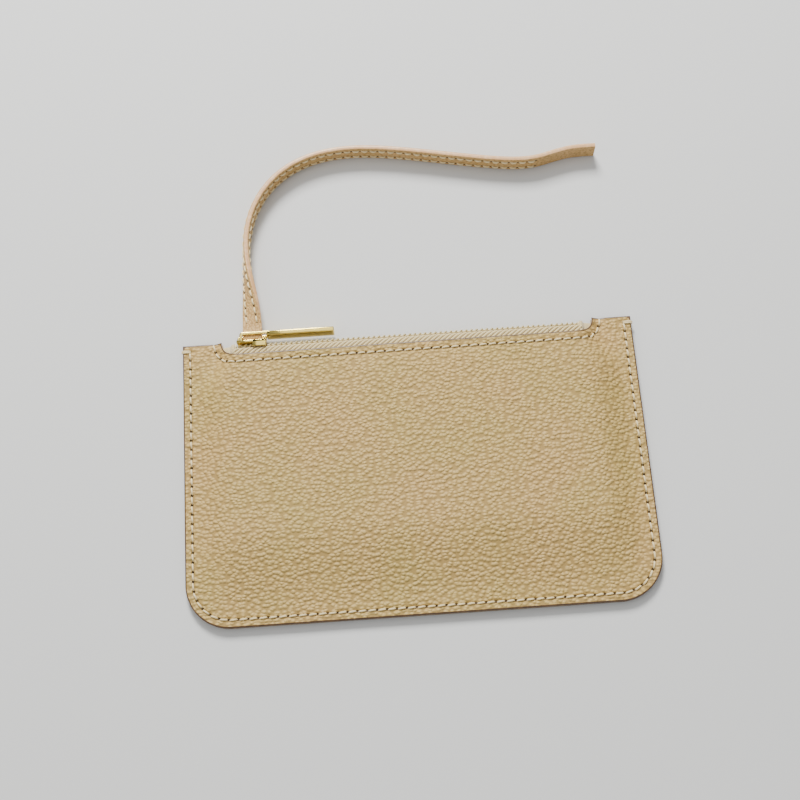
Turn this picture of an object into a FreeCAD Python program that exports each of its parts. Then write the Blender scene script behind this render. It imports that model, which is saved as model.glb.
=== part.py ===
import FreeCAD
import Part
import math
import os
import re

import Sketcher

# A flat zippered pouch, lying on its back: +X runs along the zip to its far end, +Y from the
# bottom seam to the zip, +Z out of the front panel. Millimetres. The origin is below the
# middle of the object, on the surface that it lies on.

SIZES = (
    ("pouch_length", 200.0),
    ("pouch_height", 126.0),
    ("corner_radius", 19.0),
    ("leather_wall", 1.2),
    ("lining_wall", 0.4),
    ("tape_wall", 0.5),
    ("chain_width", 5.4),
    ("belly_thickness", 8.0),
    ("sewn_gap", 0.06),
    ("rim_width", 5.0),
    ("side_rise", 17.0),
    ("bottom_rise", 36.0),
    ("cutout_inset", 17.5),
    ("cutout_depth", 7.6),
    ("tape_show", 3.4),
    ("tape_hidden", 7.5),
    ("tape_settle", 0.15),
    ("seam_inset", 3.3),
    ("zip_seam_inset", 3.6),
    ("stitch_pitch", 4.1),
    ("stitch_length", 2.7),
    ("thread_diameter", 0.6),
    ("thread_lift", 0.07),
    ("groove_width", 0.8),
    ("tack_drop", 3.0),
    ("coil_pitch", 2.28),
    ("coil_wire", 1.2),
    ("coil_height", 1.8),
    ("coil_core", 0.9),
    ("coil_round", 0.3),
    ("chain_gap", 0.8),
    ("slider_length", 13.0),
    ("slider_plate", 1.1),
    ("slider_play", 0.15),
    ("slider_lead", 0.4),
    ("slider_corner", 1.2),
    ("flange_wall", 0.75),
    ("flange_length", 6.0),
    ("post_wall", 0.4),
    ("post_length", 2.5),
    ("bridge_band", 1.2),
    ("bridge_width", 1.4),
    ("bridge_leg", 1.1),
    ("bridge_crown", 0.99),
    ("stop_length", 1.6),
    ("end_block_length", 6.5),
    ("end_block_height", 2.4),
    ("pin_radius", 0.6),
    ("bail_band", 1.3),
    ("bail_cheek", 0.8),
    ("pull_bar_length", 30.0),
    ("pull_thickness", 2.1),
    ("pull_chamfer", 0.35),
    ("tether_width", 8.4),
    ("tether_ply", 1.2),
    ("tether_merge", 5.5),
    ("tether_row_inset", 1.9),
    ("tether_bare_end", 27.0),
    ("tether_thread_lift", 0.33),
    ("tether_play", 0.05),
)

# What follows from the sizes. rise_* is measured from the bottom edge.
FITS = (
    ("rim_total", "2 * (leather_wall + lining_wall) + sewn_gap"),
    ("inner_wall", "leather_wall + lining_wall"),
    ("chain_low", "inner_wall + tape_wall"),
    ("chain_high", "chain_low + chain_width"),
    ("zip_thickness", "chain_high + chain_low"),
    ("mouth_middle", "zip_thickness / 2"),
    ("mouth_thickness", "zip_thickness + sewn_gap"),
    ("rise_cut", "pouch_height - cutout_depth"),
    ("rise_fold", "rise_cut + tape_show"),
    ("rise_chain", "rise_fold + coil_height"),
    ("rise_plate", "rise_chain + slider_play + slider_plate"),
    ("eye_radius", "sqrt(bridge_width ^ 2 + bridge_band ^ 2) / 2 + tether_play"),
    ("loop_radius", "eye_radius + tether_ply"),
    ("bridge_clear", "loop_radius + slider_play - bridge_band / 2"),
    ("rise_crest", "rise_plate + bridge_clear + bridge_band + bail_band - slider_play"),
    ("base_line", "-rise_crest / 2"),
    ("top_edge", "base_line + pouch_height"),
    ("cut_line", "base_line + rise_cut"),
    ("fold_line", "base_line + rise_fold"),
    ("chain_top", "base_line + rise_chain"),
    ("plate_top", "base_line + rise_plate"),
    ("crest", "base_line + rise_crest"),
    ("bridge_low", "plate_top + bridge_clear"),
    ("bridge_top", "bridge_low + bridge_band"),
    ("cut_reach", "pouch_length / 2 - cutout_inset"),
    ("cut_flat", "cut_reach - cutout_depth"),
    ("slider_start", "-cut_flat - slider_lead"),
    ("slider_end", "slider_start + slider_length"),
    ("chain_reach", "-slider_end - slider_play"),
    ("tape_reach", "cut_flat + slider_lead + 2 * slider_play + stop_length"),
    ("flange_low", "fold_line"),
    ("flange_in", "chain_high + tape_wall + slider_play"),
    ("slider_high", "flange_in + flange_wall"),
    ("inner_plate_low", "fold_line - tape_wall - slider_play - slider_plate"),
    ("inner_plate_side", "chain_high - tape_settle - slider_play"),
    ("pin_x", "slider_start + bridge_leg + slider_play + pin_radius"),
    ("pin_y", "plate_top + slider_play + pin_radius"),
    ("tether_low_x", "pin_x + pin_radius + slider_play"),
    ("tether_x", "tether_low_x + tether_width / 2"),
    ("pull_half", "loop_radius + slider_play + bail_cheek"),
    ("pull_start", "slider_end + slider_play"),
)

# The strap's centre line, (x, y) from where its two plies meet to the free end.
STRAP_ROUTE = (
    (0.0, 0.0),
    (-0.2, 9.0),
    (-1.4, 21.0),
    (-2.1, 33.0),
    (-1.3, 45.0),
    (1.7, 56.0),
    (7.1, 66.0),
    (14.7, 74.0),
    (24.3, 79.8),
    (35.5, 83.2),
    (48.5, 84.3),
    (63.5, 83.0),
    (80.5, 80.0),
    (97.5, 76.6),
    (112.5, 73.8),
    (124.5, 72.2),
    (134.0, 72.4),
    (143.0, 74.9),
    (152.5, 76.9),
    (162.0, 76.6),
)
STRAP_TWIST_LENGTH = 52.0  # along the centre line, from flat to standing on its edge
STRAP_SECTIONS = 14  # cross-sections of the twisted stretch
TWIST_EASE = 2.2  # above 1, the strap turns soonest beside the slider
ARC_SHARE = 0.45  # of the shorter run beside a turn, up to the arc's end
SWELL_GRID = (60, 26)  # spans of the front's surface along x and y
SWELL_MARGIN = 1.0  # how far that surface reaches past the outline
TOUCH = 0.01  # two places nearer than this are one
PARALLEL = 0.9  # the cosine above which an edge counts as running along an axis

document = FreeCAD.newDocument("pouch")
sheet = document.addObject("Spreadsheet::Sheet", "Sizes")
for row, (alias, value) in enumerate(SIZES, start=1):
    sheet.set(f"A{row}", alias)
    sheet.set(f"B{row}", str(value))
    sheet.setAlias(f"B{row}", alias)
for row, (alias, formula) in enumerate(FITS, start=1):
    sheet.set(f"D{row}", alias)
    sheet.set(f"E{row}", f"={formula}")
    sheet.setAlias(f"E{row}", alias)
document.recompute()
NAMES = {alias for alias, _ in SIZES + FITS}
PIECES = []


def sized(formula):
    """Return the formula with each size's name pointed at the sheet."""

    def pointed(word):
        return f"Sizes.{word.group()}" if word.group() in NAMES else word.group()

    return re.sub(r"[a-z][a-z_]*", pointed, str(formula))


def size(alias):
    """Return the sheet's present value of a size."""
    return float(getattr(sheet, alias))


def bind(thing, **formulas):
    """Tie properties of a document object to formulas; x, y and z are its place."""
    for name, formula in formulas.items():
        path = f"Placement.Base.{name}" if name in ("x", "y", "z") else name
        thing.setExpression(path, sized(formula))
    return thing


def block(name, x, y, z):
    """Add a box from its low and high formula along each axis."""
    made = document.addObject("Part::Box", name)
    lengths = [f"({high}) - ({low})" for low, high in (x, y, z)]
    bind(made, Length=lengths[0], Width=lengths[1], Height=lengths[2])
    return bind(made, x=x[0], y=y[0], z=z[0])


def rod(name, radius, low, high, x, y):
    """Add an upright cylinder from its low to its high formula."""
    made = document.addObject("Part::Cylinder", name)
    return bind(made, Radius=radius, Height=f"({high}) - ({low})", x=x, y=y, z=low)


def joined(name, shapes):
    """Add the union of several objects."""
    made = document.addObject("Part::MultiFuse", name)
    made.Shapes = shapes
    made.Refine = True
    return made


def without(name, base, tool):
    """Add base with tool cut away."""
    made = document.addObject("Part::Cut", name)
    made.Base = base
    made.Tool = tool
    return made


def within(name, base, tool):
    """Add what base and tool share."""
    made = document.addObject("Part::Common", name)
    made.Base = base
    made.Tool = tool
    return made


def solid(name, shape):
    """Add a shape that was made with Part's own functions."""
    made = document.addObject("Part::Feature", name)
    made.Shape = shape
    return made


def piece(label, made):
    """Name an object as one of the pouch's pieces."""
    made.Label = label
    PIECES.append(made)
    return made


# ---- the outline that all four panels are cut to ----


def rounded_plate(name, inset, low, high):
    """Add a plate over the pouch's outline, round at the bottom corners, square at the top."""
    side = f"pouch_length / 2 - ({inset})"
    centre = "pouch_length / 2 - corner_radius"
    radius = f"corner_radius - ({inset})"
    floor, turn = f"base_line + ({inset})", "base_line + corner_radius"
    upright = (low, high)
    wide = block(f"{name}_wide", (f"-({side})", side), (turn, "top_edge"), upright)
    tall = block(f"{name}_tall", (f"-({centre})", centre), (floor, "top_edge"), upright)
    left = rod(f"{name}_left", radius, low, high, f"-({centre})", turn)
    right = rod(f"{name}_right", radius, low, high, centre, turn)
    return joined(name, [wide, tall, left, right])


def mouth_notch(name, outset, low, high):
    """Add the shape of the zip's cut-out, made larger all round by outset."""
    radius = f"cutout_depth + ({outset})"
    past_top = f"top_edge + cutout_depth + ({outset})"
    deep = (f"cut_line - ({outset})", past_top)
    flat = block(f"{name}_flat", ("-cut_flat", "cut_flat"), deep, (low, high))
    left = rod(f"{name}_left", radius, low, high, "-cut_flat", "top_edge")
    right = rod(f"{name}_right", radius, low, high, "cut_flat", "top_edge")
    return joined(name, [flat, left, right])


def panel_outline(name, low, high):
    """Add a plate with the whole outline of a panel, zip cut-out included."""
    full = rounded_plate(f"{name}_full", "0", low, high)
    return without(name, full, mouth_notch(f"{name}_notch", "0", low, high))


# ---- the front's swell ----


def eased(share):
    """Return a smooth step from 0 to 1."""
    share = min(max(share, 0.0), 1.0)
    return share * share * (3.0 - 2.0 * share)


def front_height(x, y):
    """Return the height of the front panel's outer face."""
    rim, belly, mouth = size("rim_total"), size("belly_thickness"), size("mouth_thickness")
    from_side = size("pouch_length") / 2 - size("rim_width") - abs(x)
    from_bottom = y - size("base_line") - size("rim_width")
    rest = size("rise_cut") - size("zip_seam_inset") - size("rim_width") - size("bottom_rise")
    swell = (belly - rim) * eased(from_bottom / size("bottom_rise"))
    swell += (mouth - belly) * eased((from_bottom - size("bottom_rise")) / rest)
    return rim + swell * eased(from_side / size("side_rise"))


def front_sheet(drop, wall):
    """Return a solid under the front's outer face, from drop down to drop + wall."""
    columns, rows = SWELL_GRID
    wide = size("pouch_length") + 2 * SWELL_MARGIN
    tall = size("pouch_height") + 2 * SWELL_MARGIN
    grid = []
    for i in range(columns + 1):
        x = -wide / 2 + wide * i / columns
        ys = [size("base_line") - SWELL_MARGIN + tall * j / rows for j in range(rows + 1)]
        grid.append([FreeCAD.Vector(x, y, front_height(x, y) - drop) for y in ys])
    surface = Part.BSplineSurface()
    surface.interpolate(grid)
    return surface.toShape().extrude(FreeCAD.Vector(0, 0, -wall))


# ---- panels and linings ----


def back_panel():
    """Cut the back leather, with a thread-deep groove under both stitch rows."""
    plate = panel_outline("back_outline", "0", "leather_wall")
    half = "groove_width / 2"
    ring = without(
        "rim_groove",
        rounded_plate("rim_groove_out", f"seam_inset - {half}", "0", "thread_diameter"),
        rounded_plate("rim_groove_in", f"seam_inset + {half}", "0", "thread_diameter"),
    )
    notch = without(
        "zip_groove",
        mouth_notch("zip_groove_out", f"zip_seam_inset + {half}", "0", "thread_diameter"),
        mouth_notch("zip_groove_in", f"zip_seam_inset - {half}", "0", "thread_diameter"),
    )
    return piece("back_panel", without("back_cut", plate, joined("grooves", [ring, notch])))


def back_lining():
    """Lay the back lining on the back leather."""
    return piece("back_lining", panel_outline("back_lining_cut", "leather_wall", "inner_wall"))


def front_pieces():
    """Cut the swelling front leather and its lining to the outline."""
    for label, drop, wall in (
        ("front_panel", 0.0, size("leather_wall")),
        ("front_lining", size("leather_wall"), size("lining_wall")),
    ):
        swell = solid(f"{label}_swell", front_sheet(drop, wall))
        outline = panel_outline(f"{label}_outline", "0", "2 * mouth_thickness")
        piece(label, within(f"{label}_cut", swell, outline))


# ---- the zip ----


def tape(name, x, flat, upright):
    """Add one folded tape: a flat leg under the panel and an upright leg across the mouth."""
    leg = block(f"{name}_flat", x, ("cut_line - tape_hidden", "fold_line"), flat)
    stand = block(f"{name}_stand", x, ("fold_line - tape_wall", "fold_line"), upright)
    return joined(name, [leg, stand])


def tapes():
    """Add the two tapes; the front one stops short of the slider's parking places."""
    half_gap = "mouth_middle - chain_gap / 2"
    whole = ("-tape_reach", "tape_reach")
    back = tape("back_tape", whole, ("inner_wall", "chain_low"), ("inner_wall", half_gap))
    piece("zip_tape_back", back)
    front = tape(
        "front_tape",
        ("-chain_reach", "chain_reach"),
        ("chain_high", "chain_high + tape_wall"),
        ("mouth_middle + chain_gap / 2", "chain_high + tape_wall"),
    )
    piece("zip_tape_front", front)


def sideways(side, near, far):
    """Return a run's low and high formula, from the near and far ones and the side that it is on."""
    return (near, far) if side > 0 else (f"-({far})", f"-({near})")


def zip_end(label, side):
    """Add the front tape's end at one side, folded down between the panels."""
    settled = "chain_high - tape_settle"
    above = f"{settled} + tape_wall"
    run = sideways(side, "chain_reach + slider_play", "tape_reach")
    strip = tape(f"{label}_tape", run, (settled, above), ("mouth_middle + chain_gap / 2", above))
    below_fold = "fold_line - tape_show"
    tucked = sideways(side, "tape_reach", "tape_reach + end_block_length")
    deep = (below_fold, "fold_line + coil_height")
    tuck = block(f"{label}_tuck", tucked, deep, ("chain_low", "chain_low + end_block_height"))
    wall = sideways(side, "tape_reach", "tape_reach + tape_wall")
    riser = block(f"{label}_riser", wall, (below_fold, "fold_line"), ("chain_low", above))
    piece(label, joined(f"{label}_all", [strip, tuck, riser]))


def coil(low_x, high_x, centre_z, outward, phase):
    """Return one half of the coil as a comb: a core along X and a tooth at each pitch."""
    gap, width = size("chain_gap") / 2, size("chain_width") / 2
    y = size("fold_line")
    reach = (gap, width) if outward > 0 else (-width, -gap)
    core_low = width - size("coil_core") if outward > 0 else -width
    core = Part.makeBox(
        high_x - low_x,
        size("coil_height") - size("coil_wire") / 2,
        size("coil_core"),
        FreeCAD.Vector(low_x, y, centre_z + core_low),
    )
    teeth = []
    pitch, wire = size("coil_pitch"), size("coil_wire")
    count = int((high_x - low_x - wire) // pitch)
    for k in range(count):
        x = low_x + wire / 2 + phase * pitch / 2 + k * pitch
        corner = FreeCAD.Vector(x, y, centre_z + reach[0])
        tooth = Part.makeBox(wire, size("coil_height"), reach[1] - reach[0], corner)
        upright = [edge for edge in tooth.Edges if abs(edge.tangentAt(0).z) > PARALLEL]
        teeth.append(tooth.makeFillet(size("coil_round"), upright))
    return core.multiFuse(teeth).removeSplitter()


def coils():
    """Add the coil halves: the back one runs through, the front one has separate end lengths."""
    middle = size("mouth_middle")
    reach = size("chain_reach")
    split = reach + size("slider_play")
    tape_end = size("tape_reach") - size("stop_length") - size("slider_play")
    piece("coil_back", solid("back_coil", coil(-tape_end, tape_end, middle, -1, 0)))
    piece("coil_front", solid("front_coil", coil(-reach, reach, middle, 1, 1)))
    left = coil(-tape_end, -split, middle, 1, 1)
    right = coil(split, tape_end, middle, 1, 1)
    piece("coil_ends", solid("end_coils", Part.Compound([left, right])))


def stop(label, side):
    """Add the clip that stops the slider: a bar over both coil halves."""
    span = sideways(side, "tape_reach - stop_length", "tape_reach")
    upright = ("chain_low + tape_wall + slider_play", "chain_high - tape_settle - tape_wall - slider_play")
    piece(label, block(f"{label}_bar", span, ("fold_line", "chain_top"), upright))


# ---- the slider and its pull ----


def plane_of(body, role):
    """Return one of a body's own origin planes."""
    return next(plane for plane in body.Origin.OriginFeatures if plane.Role == role)


def rectangle(body, name, x, y, low):
    """Add a rectangle sketch above the body's XY plane, from the low and high formula on x and y."""
    sketch = body.newObject("Sketcher::SketchObject", name)
    sketch.AttachmentSupport = (plane_of(body, "XY_Plane"), [""])
    sketch.MapMode = "FlatFace"
    sketch.setExpression("AttachmentOffset.Base.z", sized(low))
    low_corner, high_corner = (1.0, 1.0), (9.0, 5.0)
    corners = [low_corner, (high_corner[0], low_corner[1]), high_corner, (low_corner[0], high_corner[1])]
    for k, start in enumerate(corners):
        end = corners[(k + 1) % 4]
        line = Part.LineSegment(FreeCAD.Vector(*start, 0), FreeCAD.Vector(*end, 0))
        sketch.addGeometry(line, False)
    for k, kind in enumerate(("Horizontal", "Vertical", "Horizontal", "Vertical")):
        sketch.addConstraint(Sketcher.Constraint("Coincident", k, 2, (k + 1) % 4, 1))
        sketch.addConstraint(Sketcher.Constraint(kind, k))
    for side, line, kind, value, formula in (
        ("low_x", 0, "DistanceX", low_corner[0], x[0]),
        ("low_y", 0, "DistanceY", low_corner[1], y[0]),
        ("high_x", 2, "DistanceX", high_corner[0], x[1]),
        ("high_y", 2, "DistanceY", high_corner[1], y[1]),
    ):
        index = sketch.addConstraint(Sketcher.Constraint(kind, -1, 1, line, 1, value))
        sketch.renameConstraint(index, side)
        sketch.setExpression(f"Constraints.{side}", sized(formula))
    return sketch


def slab(body, name, x, y, z):
    """Pad a rectangle from its low to its high formula along z."""
    sketch = rectangle(body, f"{name}_sketch", x, y, z[0])
    made = body.newObject("PartDesign::Pad", name)
    made.Profile = sketch
    made.setExpression("Length", sized(f"({z[1]}) - ({z[0]})"))
    return made


def edges_of(feature, test):
    """Return the names of the edges whose middle and direction pass a test."""
    document.recompute()
    found = []
    for k, edge in enumerate(feature.Shape.Edges, start=1):
        if len(edge.Vertexes) != 2 or not isinstance(edge.Curve, Part.Line):
            continue
        along = (edge.Vertexes[1].Point - edge.Vertexes[0].Point).normalize()
        if test(edge.CenterOfMass, along):
            found.append(f"Edge{k}")
    return found


def slider():
    """Make the slider: two plates, flanges outside the tapes, a dividing post and the bridge."""
    body = document.addObject("PartDesign::Body", "slider")
    length = ("slider_start", "slider_end")
    slider_low = "zip_thickness - slider_high"
    slab(body, "outer_plate", length, ("plate_top - slider_plate", "plate_top"), (slider_low, "slider_high"))
    tail = ("slider_end - flange_length", "slider_end")
    slab(body, "front_flange", tail, ("flange_low", "plate_top"), ("flange_in", "slider_high"))
    slab(body, "back_flange", tail, ("flange_low", "plate_top"), (slider_low, "zip_thickness - flange_in"))
    post_side = "post_wall / 2"
    post_x = ("slider_start + slider_lead", "slider_start + slider_lead + post_length")
    post_z = (f"mouth_middle - {post_side}", f"mouth_middle + {post_side}")
    slab(body, "post", post_x, ("inner_plate_low", "plate_top"), post_z)
    inner_y = ("inner_plate_low", "inner_plate_low + slider_plate")
    slab(body, "inner_plate", length, inner_y, ("zip_thickness - inner_plate_side", "inner_plate_side"))
    band_z = ("mouth_middle - bridge_width / 2", "mouth_middle + bridge_width / 2")
    arch = slab(body, "bridge", length, ("plate_top", "bridge_top"), band_z)
    inside = ("slider_start + bridge_leg", "slider_end - bridge_leg")
    window = rectangle(body, "window_sketch", inside, ("plate_top", "bridge_low"), band_z[0])
    opening = body.newObject("PartDesign::Pocket", "bridge_window")
    opening.Profile = window
    opening.Reversed = True
    opening.setExpression("Length", sized("bridge_width"))
    document.recompute()
    if opening.Shape.Volume >= arch.Shape.Volume:
        raise RuntimeError("the bridge's window cuts nothing")
    top = size("bridge_top")
    crown = edges_of(opening, lambda at, along: abs(along.z) > PARALLEL and at.y > top - TOUCH)
    rounded = body.newObject("PartDesign::Fillet", "crown")
    rounded.Base = (opening, crown)
    rounded.setExpression("Radius", sized("bridge_crown"))
    plate_low, plate_high = size("plate_top") - size("slider_plate"), size("plate_top")
    half_depth = size("slider_high") - size("mouth_middle")

    def at_the_nose(at, along):
        inside = plate_low < at.y < plate_high and at.x < size("slider_start") + TOUCH
        return inside and abs(along.y) > PARALLEL and abs(at.z - size("mouth_middle")) > half_depth - TOUCH

    corners = edges_of(rounded, at_the_nose)
    nose = body.newObject("PartDesign::Fillet", "nose")
    nose.Base = (rounded, corners)
    nose.setExpression("Radius", sized("slider_corner"))
    body.Tip = nose
    return piece("slider_body", body)


def pull():
    """Make the pull: a flat bar, two cheeks round the strap's fold, and the pin under the bridge."""
    body = document.addObject("PartDesign::Body", "pull")
    low, high = "mouth_middle - pull_half", "mouth_middle + pull_half"
    bar = ("pull_start", "pull_start + pull_bar_length")
    slab(body, "bar", bar, ("crest - pull_thickness", "crest"), (low, high))
    half_band = "bail_band / 2"
    for name, z in (("front", (f"{high} - bail_cheek", high)), ("back", (low, f"{low} + bail_cheek"))):
        arm_x = (f"pin_x - {half_band}", "pull_start")
        slab(body, f"{name}_arm", arm_x, ("crest - bail_band", "crest"), z)
        leg_x = (f"pin_x - {half_band}", f"pin_x + {half_band}")
        cheek = slab(body, f"{name}_leg", leg_x, ("pin_y - pin_radius", "crest"), z)
    document.recompute()
    outer = size("pin_x") - size("bail_band") / 2
    crest = size("crest")

    def at_the_bend(at, along):
        return abs(along.z) > PARALLEL and at.x < outer + TOUCH and at.y > crest - TOUCH

    bend = edges_of(cheek, at_the_bend)
    rounded = body.newObject("PartDesign::Fillet", "bail_bend")
    rounded.Base = (cheek, bend)
    rounded.setExpression("Radius", sized("bail_band"))
    start = size("pull_start")
    tip = start + size("pull_bar_length")

    def round_the_bar(at, along):
        return at.x > tip - TOUCH or (abs(along.x) > PARALLEL and at.x > start)

    rim = edges_of(rounded, round_the_bar)
    softened = body.newObject("PartDesign::Chamfer", "bar_chamfer")
    softened.Base = (rounded, rim)
    softened.setExpression("Size", sized("pull_chamfer"))
    sketch = body.newObject("Sketcher::SketchObject", "pin_sketch")
    sketch.AttachmentSupport = (plane_of(body, "XY_Plane"), [""])
    sketch.MapMode = "FlatFace"
    sketch.setExpression("AttachmentOffset.Base.z", sized(low))
    sketch.addGeometry(Part.Circle(FreeCAD.Vector(1, 1, 0), FreeCAD.Vector(0, 0, 1), 1), False)
    for name, kind, what, formula in (
        ("pin_radius", "Radius", (0, 1.0), "pin_radius"),
        ("centre_x", "DistanceX", (-1, 1, 0, 3, 1.0), "pin_x"),
        ("centre_y", "DistanceY", (-1, 1, 0, 3, 1.0), "pin_y"),
    ):
        index = sketch.addConstraint(Sketcher.Constraint(kind, *what))
        sketch.renameConstraint(index, name)
        sketch.setExpression(f"Constraints.{name}", sized(formula))
    pin = body.newObject("PartDesign::Pad", "pin")
    pin.Profile = sketch
    pin.setExpression("Length", sized("2 * pull_half"))
    body.Tip = pin
    return piece("pull_tab", body)


# ---- the strap ----


class Stretch:
    """A straight run or an arc of the strap's centre line, seen from above."""

    def __init__(self, x, y, heading, length, bend):
        self.x, self.y, self.heading, self.length, self.bend = x, y, heading, length, bend

    def at(self, along):
        """Return x, y and heading at a distance along the stretch."""
        if self.bend == 0.0:
            x = self.x + along * math.cos(self.heading)
            return x, self.y + along * math.sin(self.heading), self.heading
        turned = self.heading + along * self.bend
        x = self.x + (math.sin(turned) - math.sin(self.heading)) / self.bend
        return x, self.y - (math.cos(turned) - math.cos(self.heading)) / self.bend, turned

    def edge(self, offset):
        """Return the stretch as an edge, moved to its left by offset."""
        ends = []
        for along in (0.0, self.length / 2, self.length):
            x, y, heading = self.at(along)
            ends.append(FreeCAD.Vector(x - offset * math.sin(heading), y + offset * math.cos(heading), 0))
        if self.bend == 0.0:
            return Part.LineSegment(ends[0], ends[2]).toShape()
        return Part.Arc(*ends).toShape()


def strap_stretches():
    """Return the strap's runs and the arcs between them, and print the arcs' radii."""
    root_x = size("tether_x")
    root_y = size("bridge_top") + size("tether_merge") + size("slider_play")
    points = [(root_x + x, root_y + y) for x, y in STRAP_ROUTE]
    runs = [(b[0] - a[0], b[1] - a[1]) for a, b in zip(points, points[1:])]
    lengths = [math.hypot(*run) for run in runs]
    headings = [math.atan2(run[1], run[0]) for run in runs]
    turns = [(b - a + math.pi) % (2 * math.pi) - math.pi for a, b in zip(headings, headings[1:])]
    reach = [0.0] + [ARC_SHARE * min(a, b) for a, b in zip(lengths, lengths[1:])] + [0.0]
    stretches, radii = [], []
    for k, heading in enumerate(headings):
        x = points[k][0] + reach[k] * math.cos(heading)
        y = points[k][1] + reach[k] * math.sin(heading)
        stretches.append(Stretch(x, y, heading, lengths[k] - reach[k] - reach[k + 1], 0.0))
        if k < len(turns):
            radius = reach[k + 1] / math.tan(abs(turns[k]) / 2)
            radii.append(round(radius, 1))
            x, y, heading = stretches[-1].at(stretches[-1].length)
            bend = math.copysign(1 / radius, turns[k])
            stretches.append(Stretch(x, y, heading, radius * abs(turns[k]), bend))
    print("strap arc radii, mm:", radii)
    return stretches


def strap_frame(stretches, along):
    """Return the strap's middle, its width's direction and its outer face's direction."""
    x, y, heading = stretches[-1].at(stretches[-1].length)
    left = along
    for stretch in stretches:
        if left <= stretch.length:
            x, y, heading = stretch.at(left)
            break
        left -= stretch.length
    share = min(along / STRAP_TWIST_LENGTH, 1.0)
    turned = math.radians(90) * (1 - (1 - share) ** TWIST_EASE)
    aside = FreeCAD.Vector(-math.sin(heading), math.cos(heading), 0)
    up = FreeCAD.Vector(0, 0, 1)
    low, high = size("tether_width") / 2, size("mouth_middle")
    middle = FreeCAD.Vector(x, y, high + (low - high) * share)
    wide = up * math.sin(turned) - aside * math.cos(turned)
    return middle, wide, up * math.cos(turned) + aside * math.sin(turned)


def tether_loop():
    """Add the strap's fold round the slider's bridge, its two legs drawn together at the end."""
    inner, outer, ply = size("eye_radius"), size("loop_radius"), size("tether_ply")
    centre = size("bridge_low") + size("bridge_band") / 2
    end = size("bridge_top") + size("tether_merge")
    x, middle = size("tether_low_x"), size("mouth_middle")

    def at(y, z):
        return FreeCAD.Vector(x, y, middle + z)

    outside = Part.Arc(at(centre, outer), at(centre - outer, 0), at(centre, -outer)).toShape()
    inside = Part.Arc(at(centre, -inner), at(centre - inner, 0), at(centre, inner)).toShape()
    low_leg = Part.makePolygon([at(centre, -outer), at(end, -ply), at(end, ply), at(centre, outer)])
    slit = Part.makePolygon([at(centre, inner), at(end - ply, 0), at(centre, -inner)])
    outline = Part.Wire(Part.__sortEdges__([outside, *low_leg.Edges]))
    hollow = Part.Wire(Part.__sortEdges__([inside, *slit.Edges]))
    along = FreeCAD.Vector(size("tether_width"), 0, 0)
    loop = Part.Face(outline).extrude(along).cut(Part.Face(hollow).extrude(along))
    piece("tether_loop", solid("strap_loop", loop))


def strap_ply(stretches, side):
    """Return one ply of the strap: the twisted stretch and the stretch on edge."""
    half, ply = size("tether_width") / 2, size("tether_ply")
    sections = []
    for k in range(STRAP_SECTIONS + 1):
        middle, wide, out = strap_frame(stretches, STRAP_TWIST_LENGTH * k / STRAP_SECTIONS)
        low, high = middle - wide * half, middle + wide * half
        corners = [low, high, high + out * side * ply, low + out * side * ply]
        sections.append(Part.makePolygon(corners + corners[:1]))
    twist = Part.makeLoft(sections, True, True)
    standing, gone = [], 0.0
    for stretch in stretches:
        skip = min(max(STRAP_TWIST_LENGTH - gone, 0.0), stretch.length)
        gone += stretch.length
        if skip < stretch.length:
            standing.append(Stretch(*stretch.at(skip), stretch.length - skip, stretch.bend))
    near = [stretch.edge(0.0) for stretch in standing]
    far = [stretch.edge(side * ply) for stretch in standing]
    start = Part.LineSegment(near[0].firstVertex(True).Point, far[0].firstVertex(True).Point).toShape()
    end = Part.LineSegment(near[-1].lastVertex(True).Point, far[-1].lastVertex(True).Point).toShape()
    outline = Part.Wire(Part.__sortEdges__([*near, *far, start, end]))
    upright = Part.Face(outline).extrude(FreeCAD.Vector(0, 0, size("tether_width")))
    whole = twist.fuse(upright).removeSplitter()
    expected = sum(stretch.length for stretch in stretches) * size("tether_width") * ply
    print("strap ply volume over its section times its length:", round(whole.Volume / expected, 3))
    return whole


def stitch(start, end):
    """Return one stitch as a rod between two points."""
    along = end - start
    return Part.makeCylinder(size("thread_diameter") / 2, along.Length, start, along)


def strap():
    """Add the strap's two plies and its stitching."""
    stretches = strap_stretches()
    total = sum(stretch.length for stretch in stretches)
    print("strap length, mm:", round(total, 1))
    tether_loop()
    piece("tether_outer_ply", solid("outer_ply", strap_ply(stretches, 1)))
    piece("tether_inner_ply", solid("inner_ply", strap_ply(stretches, -1)))
    count = int((total - size("tether_bare_end")) // size("stitch_pitch"))
    rods = []
    lift = size("tether_ply") + size("tether_thread_lift")
    row = size("tether_width") / 2 - size("tether_row_inset")
    for k in range(count):
        low = (k + 0.5) * size("stitch_pitch") - size("stitch_length") / 2
        ends = [strap_frame(stretches, low), strap_frame(stretches, low + size("stitch_length"))]
        for across in (-row, row):
            for side in (-1, 1):
                points = [middle + wide * across + out * side * lift for middle, wide, out in ends]
                rods.append(stitch(*points))
    piece("tether_thread", solid("strap_stitches", Part.Compound(rods)))


# ---- the seams ----


def rim_path():
    """Return the rim seam's stretches, down the left side, round the bottom and up the right."""
    radius = size("corner_radius") - size("seam_inset")
    side = size("pouch_length") / 2 - size("seam_inset")
    start, turn = size("top_edge") - size("tack_drop"), size("base_line") + size("corner_radius")
    quarter = math.pi / 2
    down = Stretch(-side, start, -quarter, start - turn, 0.0)
    left = Stretch(-side, turn, -quarter, quarter * radius, 1 / radius)
    along = Stretch(radius - side, turn - radius, 0.0, 2 * (side - radius), 0.0)
    right = Stretch(side - radius, turn - radius, 0.0, quarter * radius, 1 / radius)
    return [down, left, along, right, Stretch(side, turn, quarter, start - turn, 0.0)]


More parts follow.
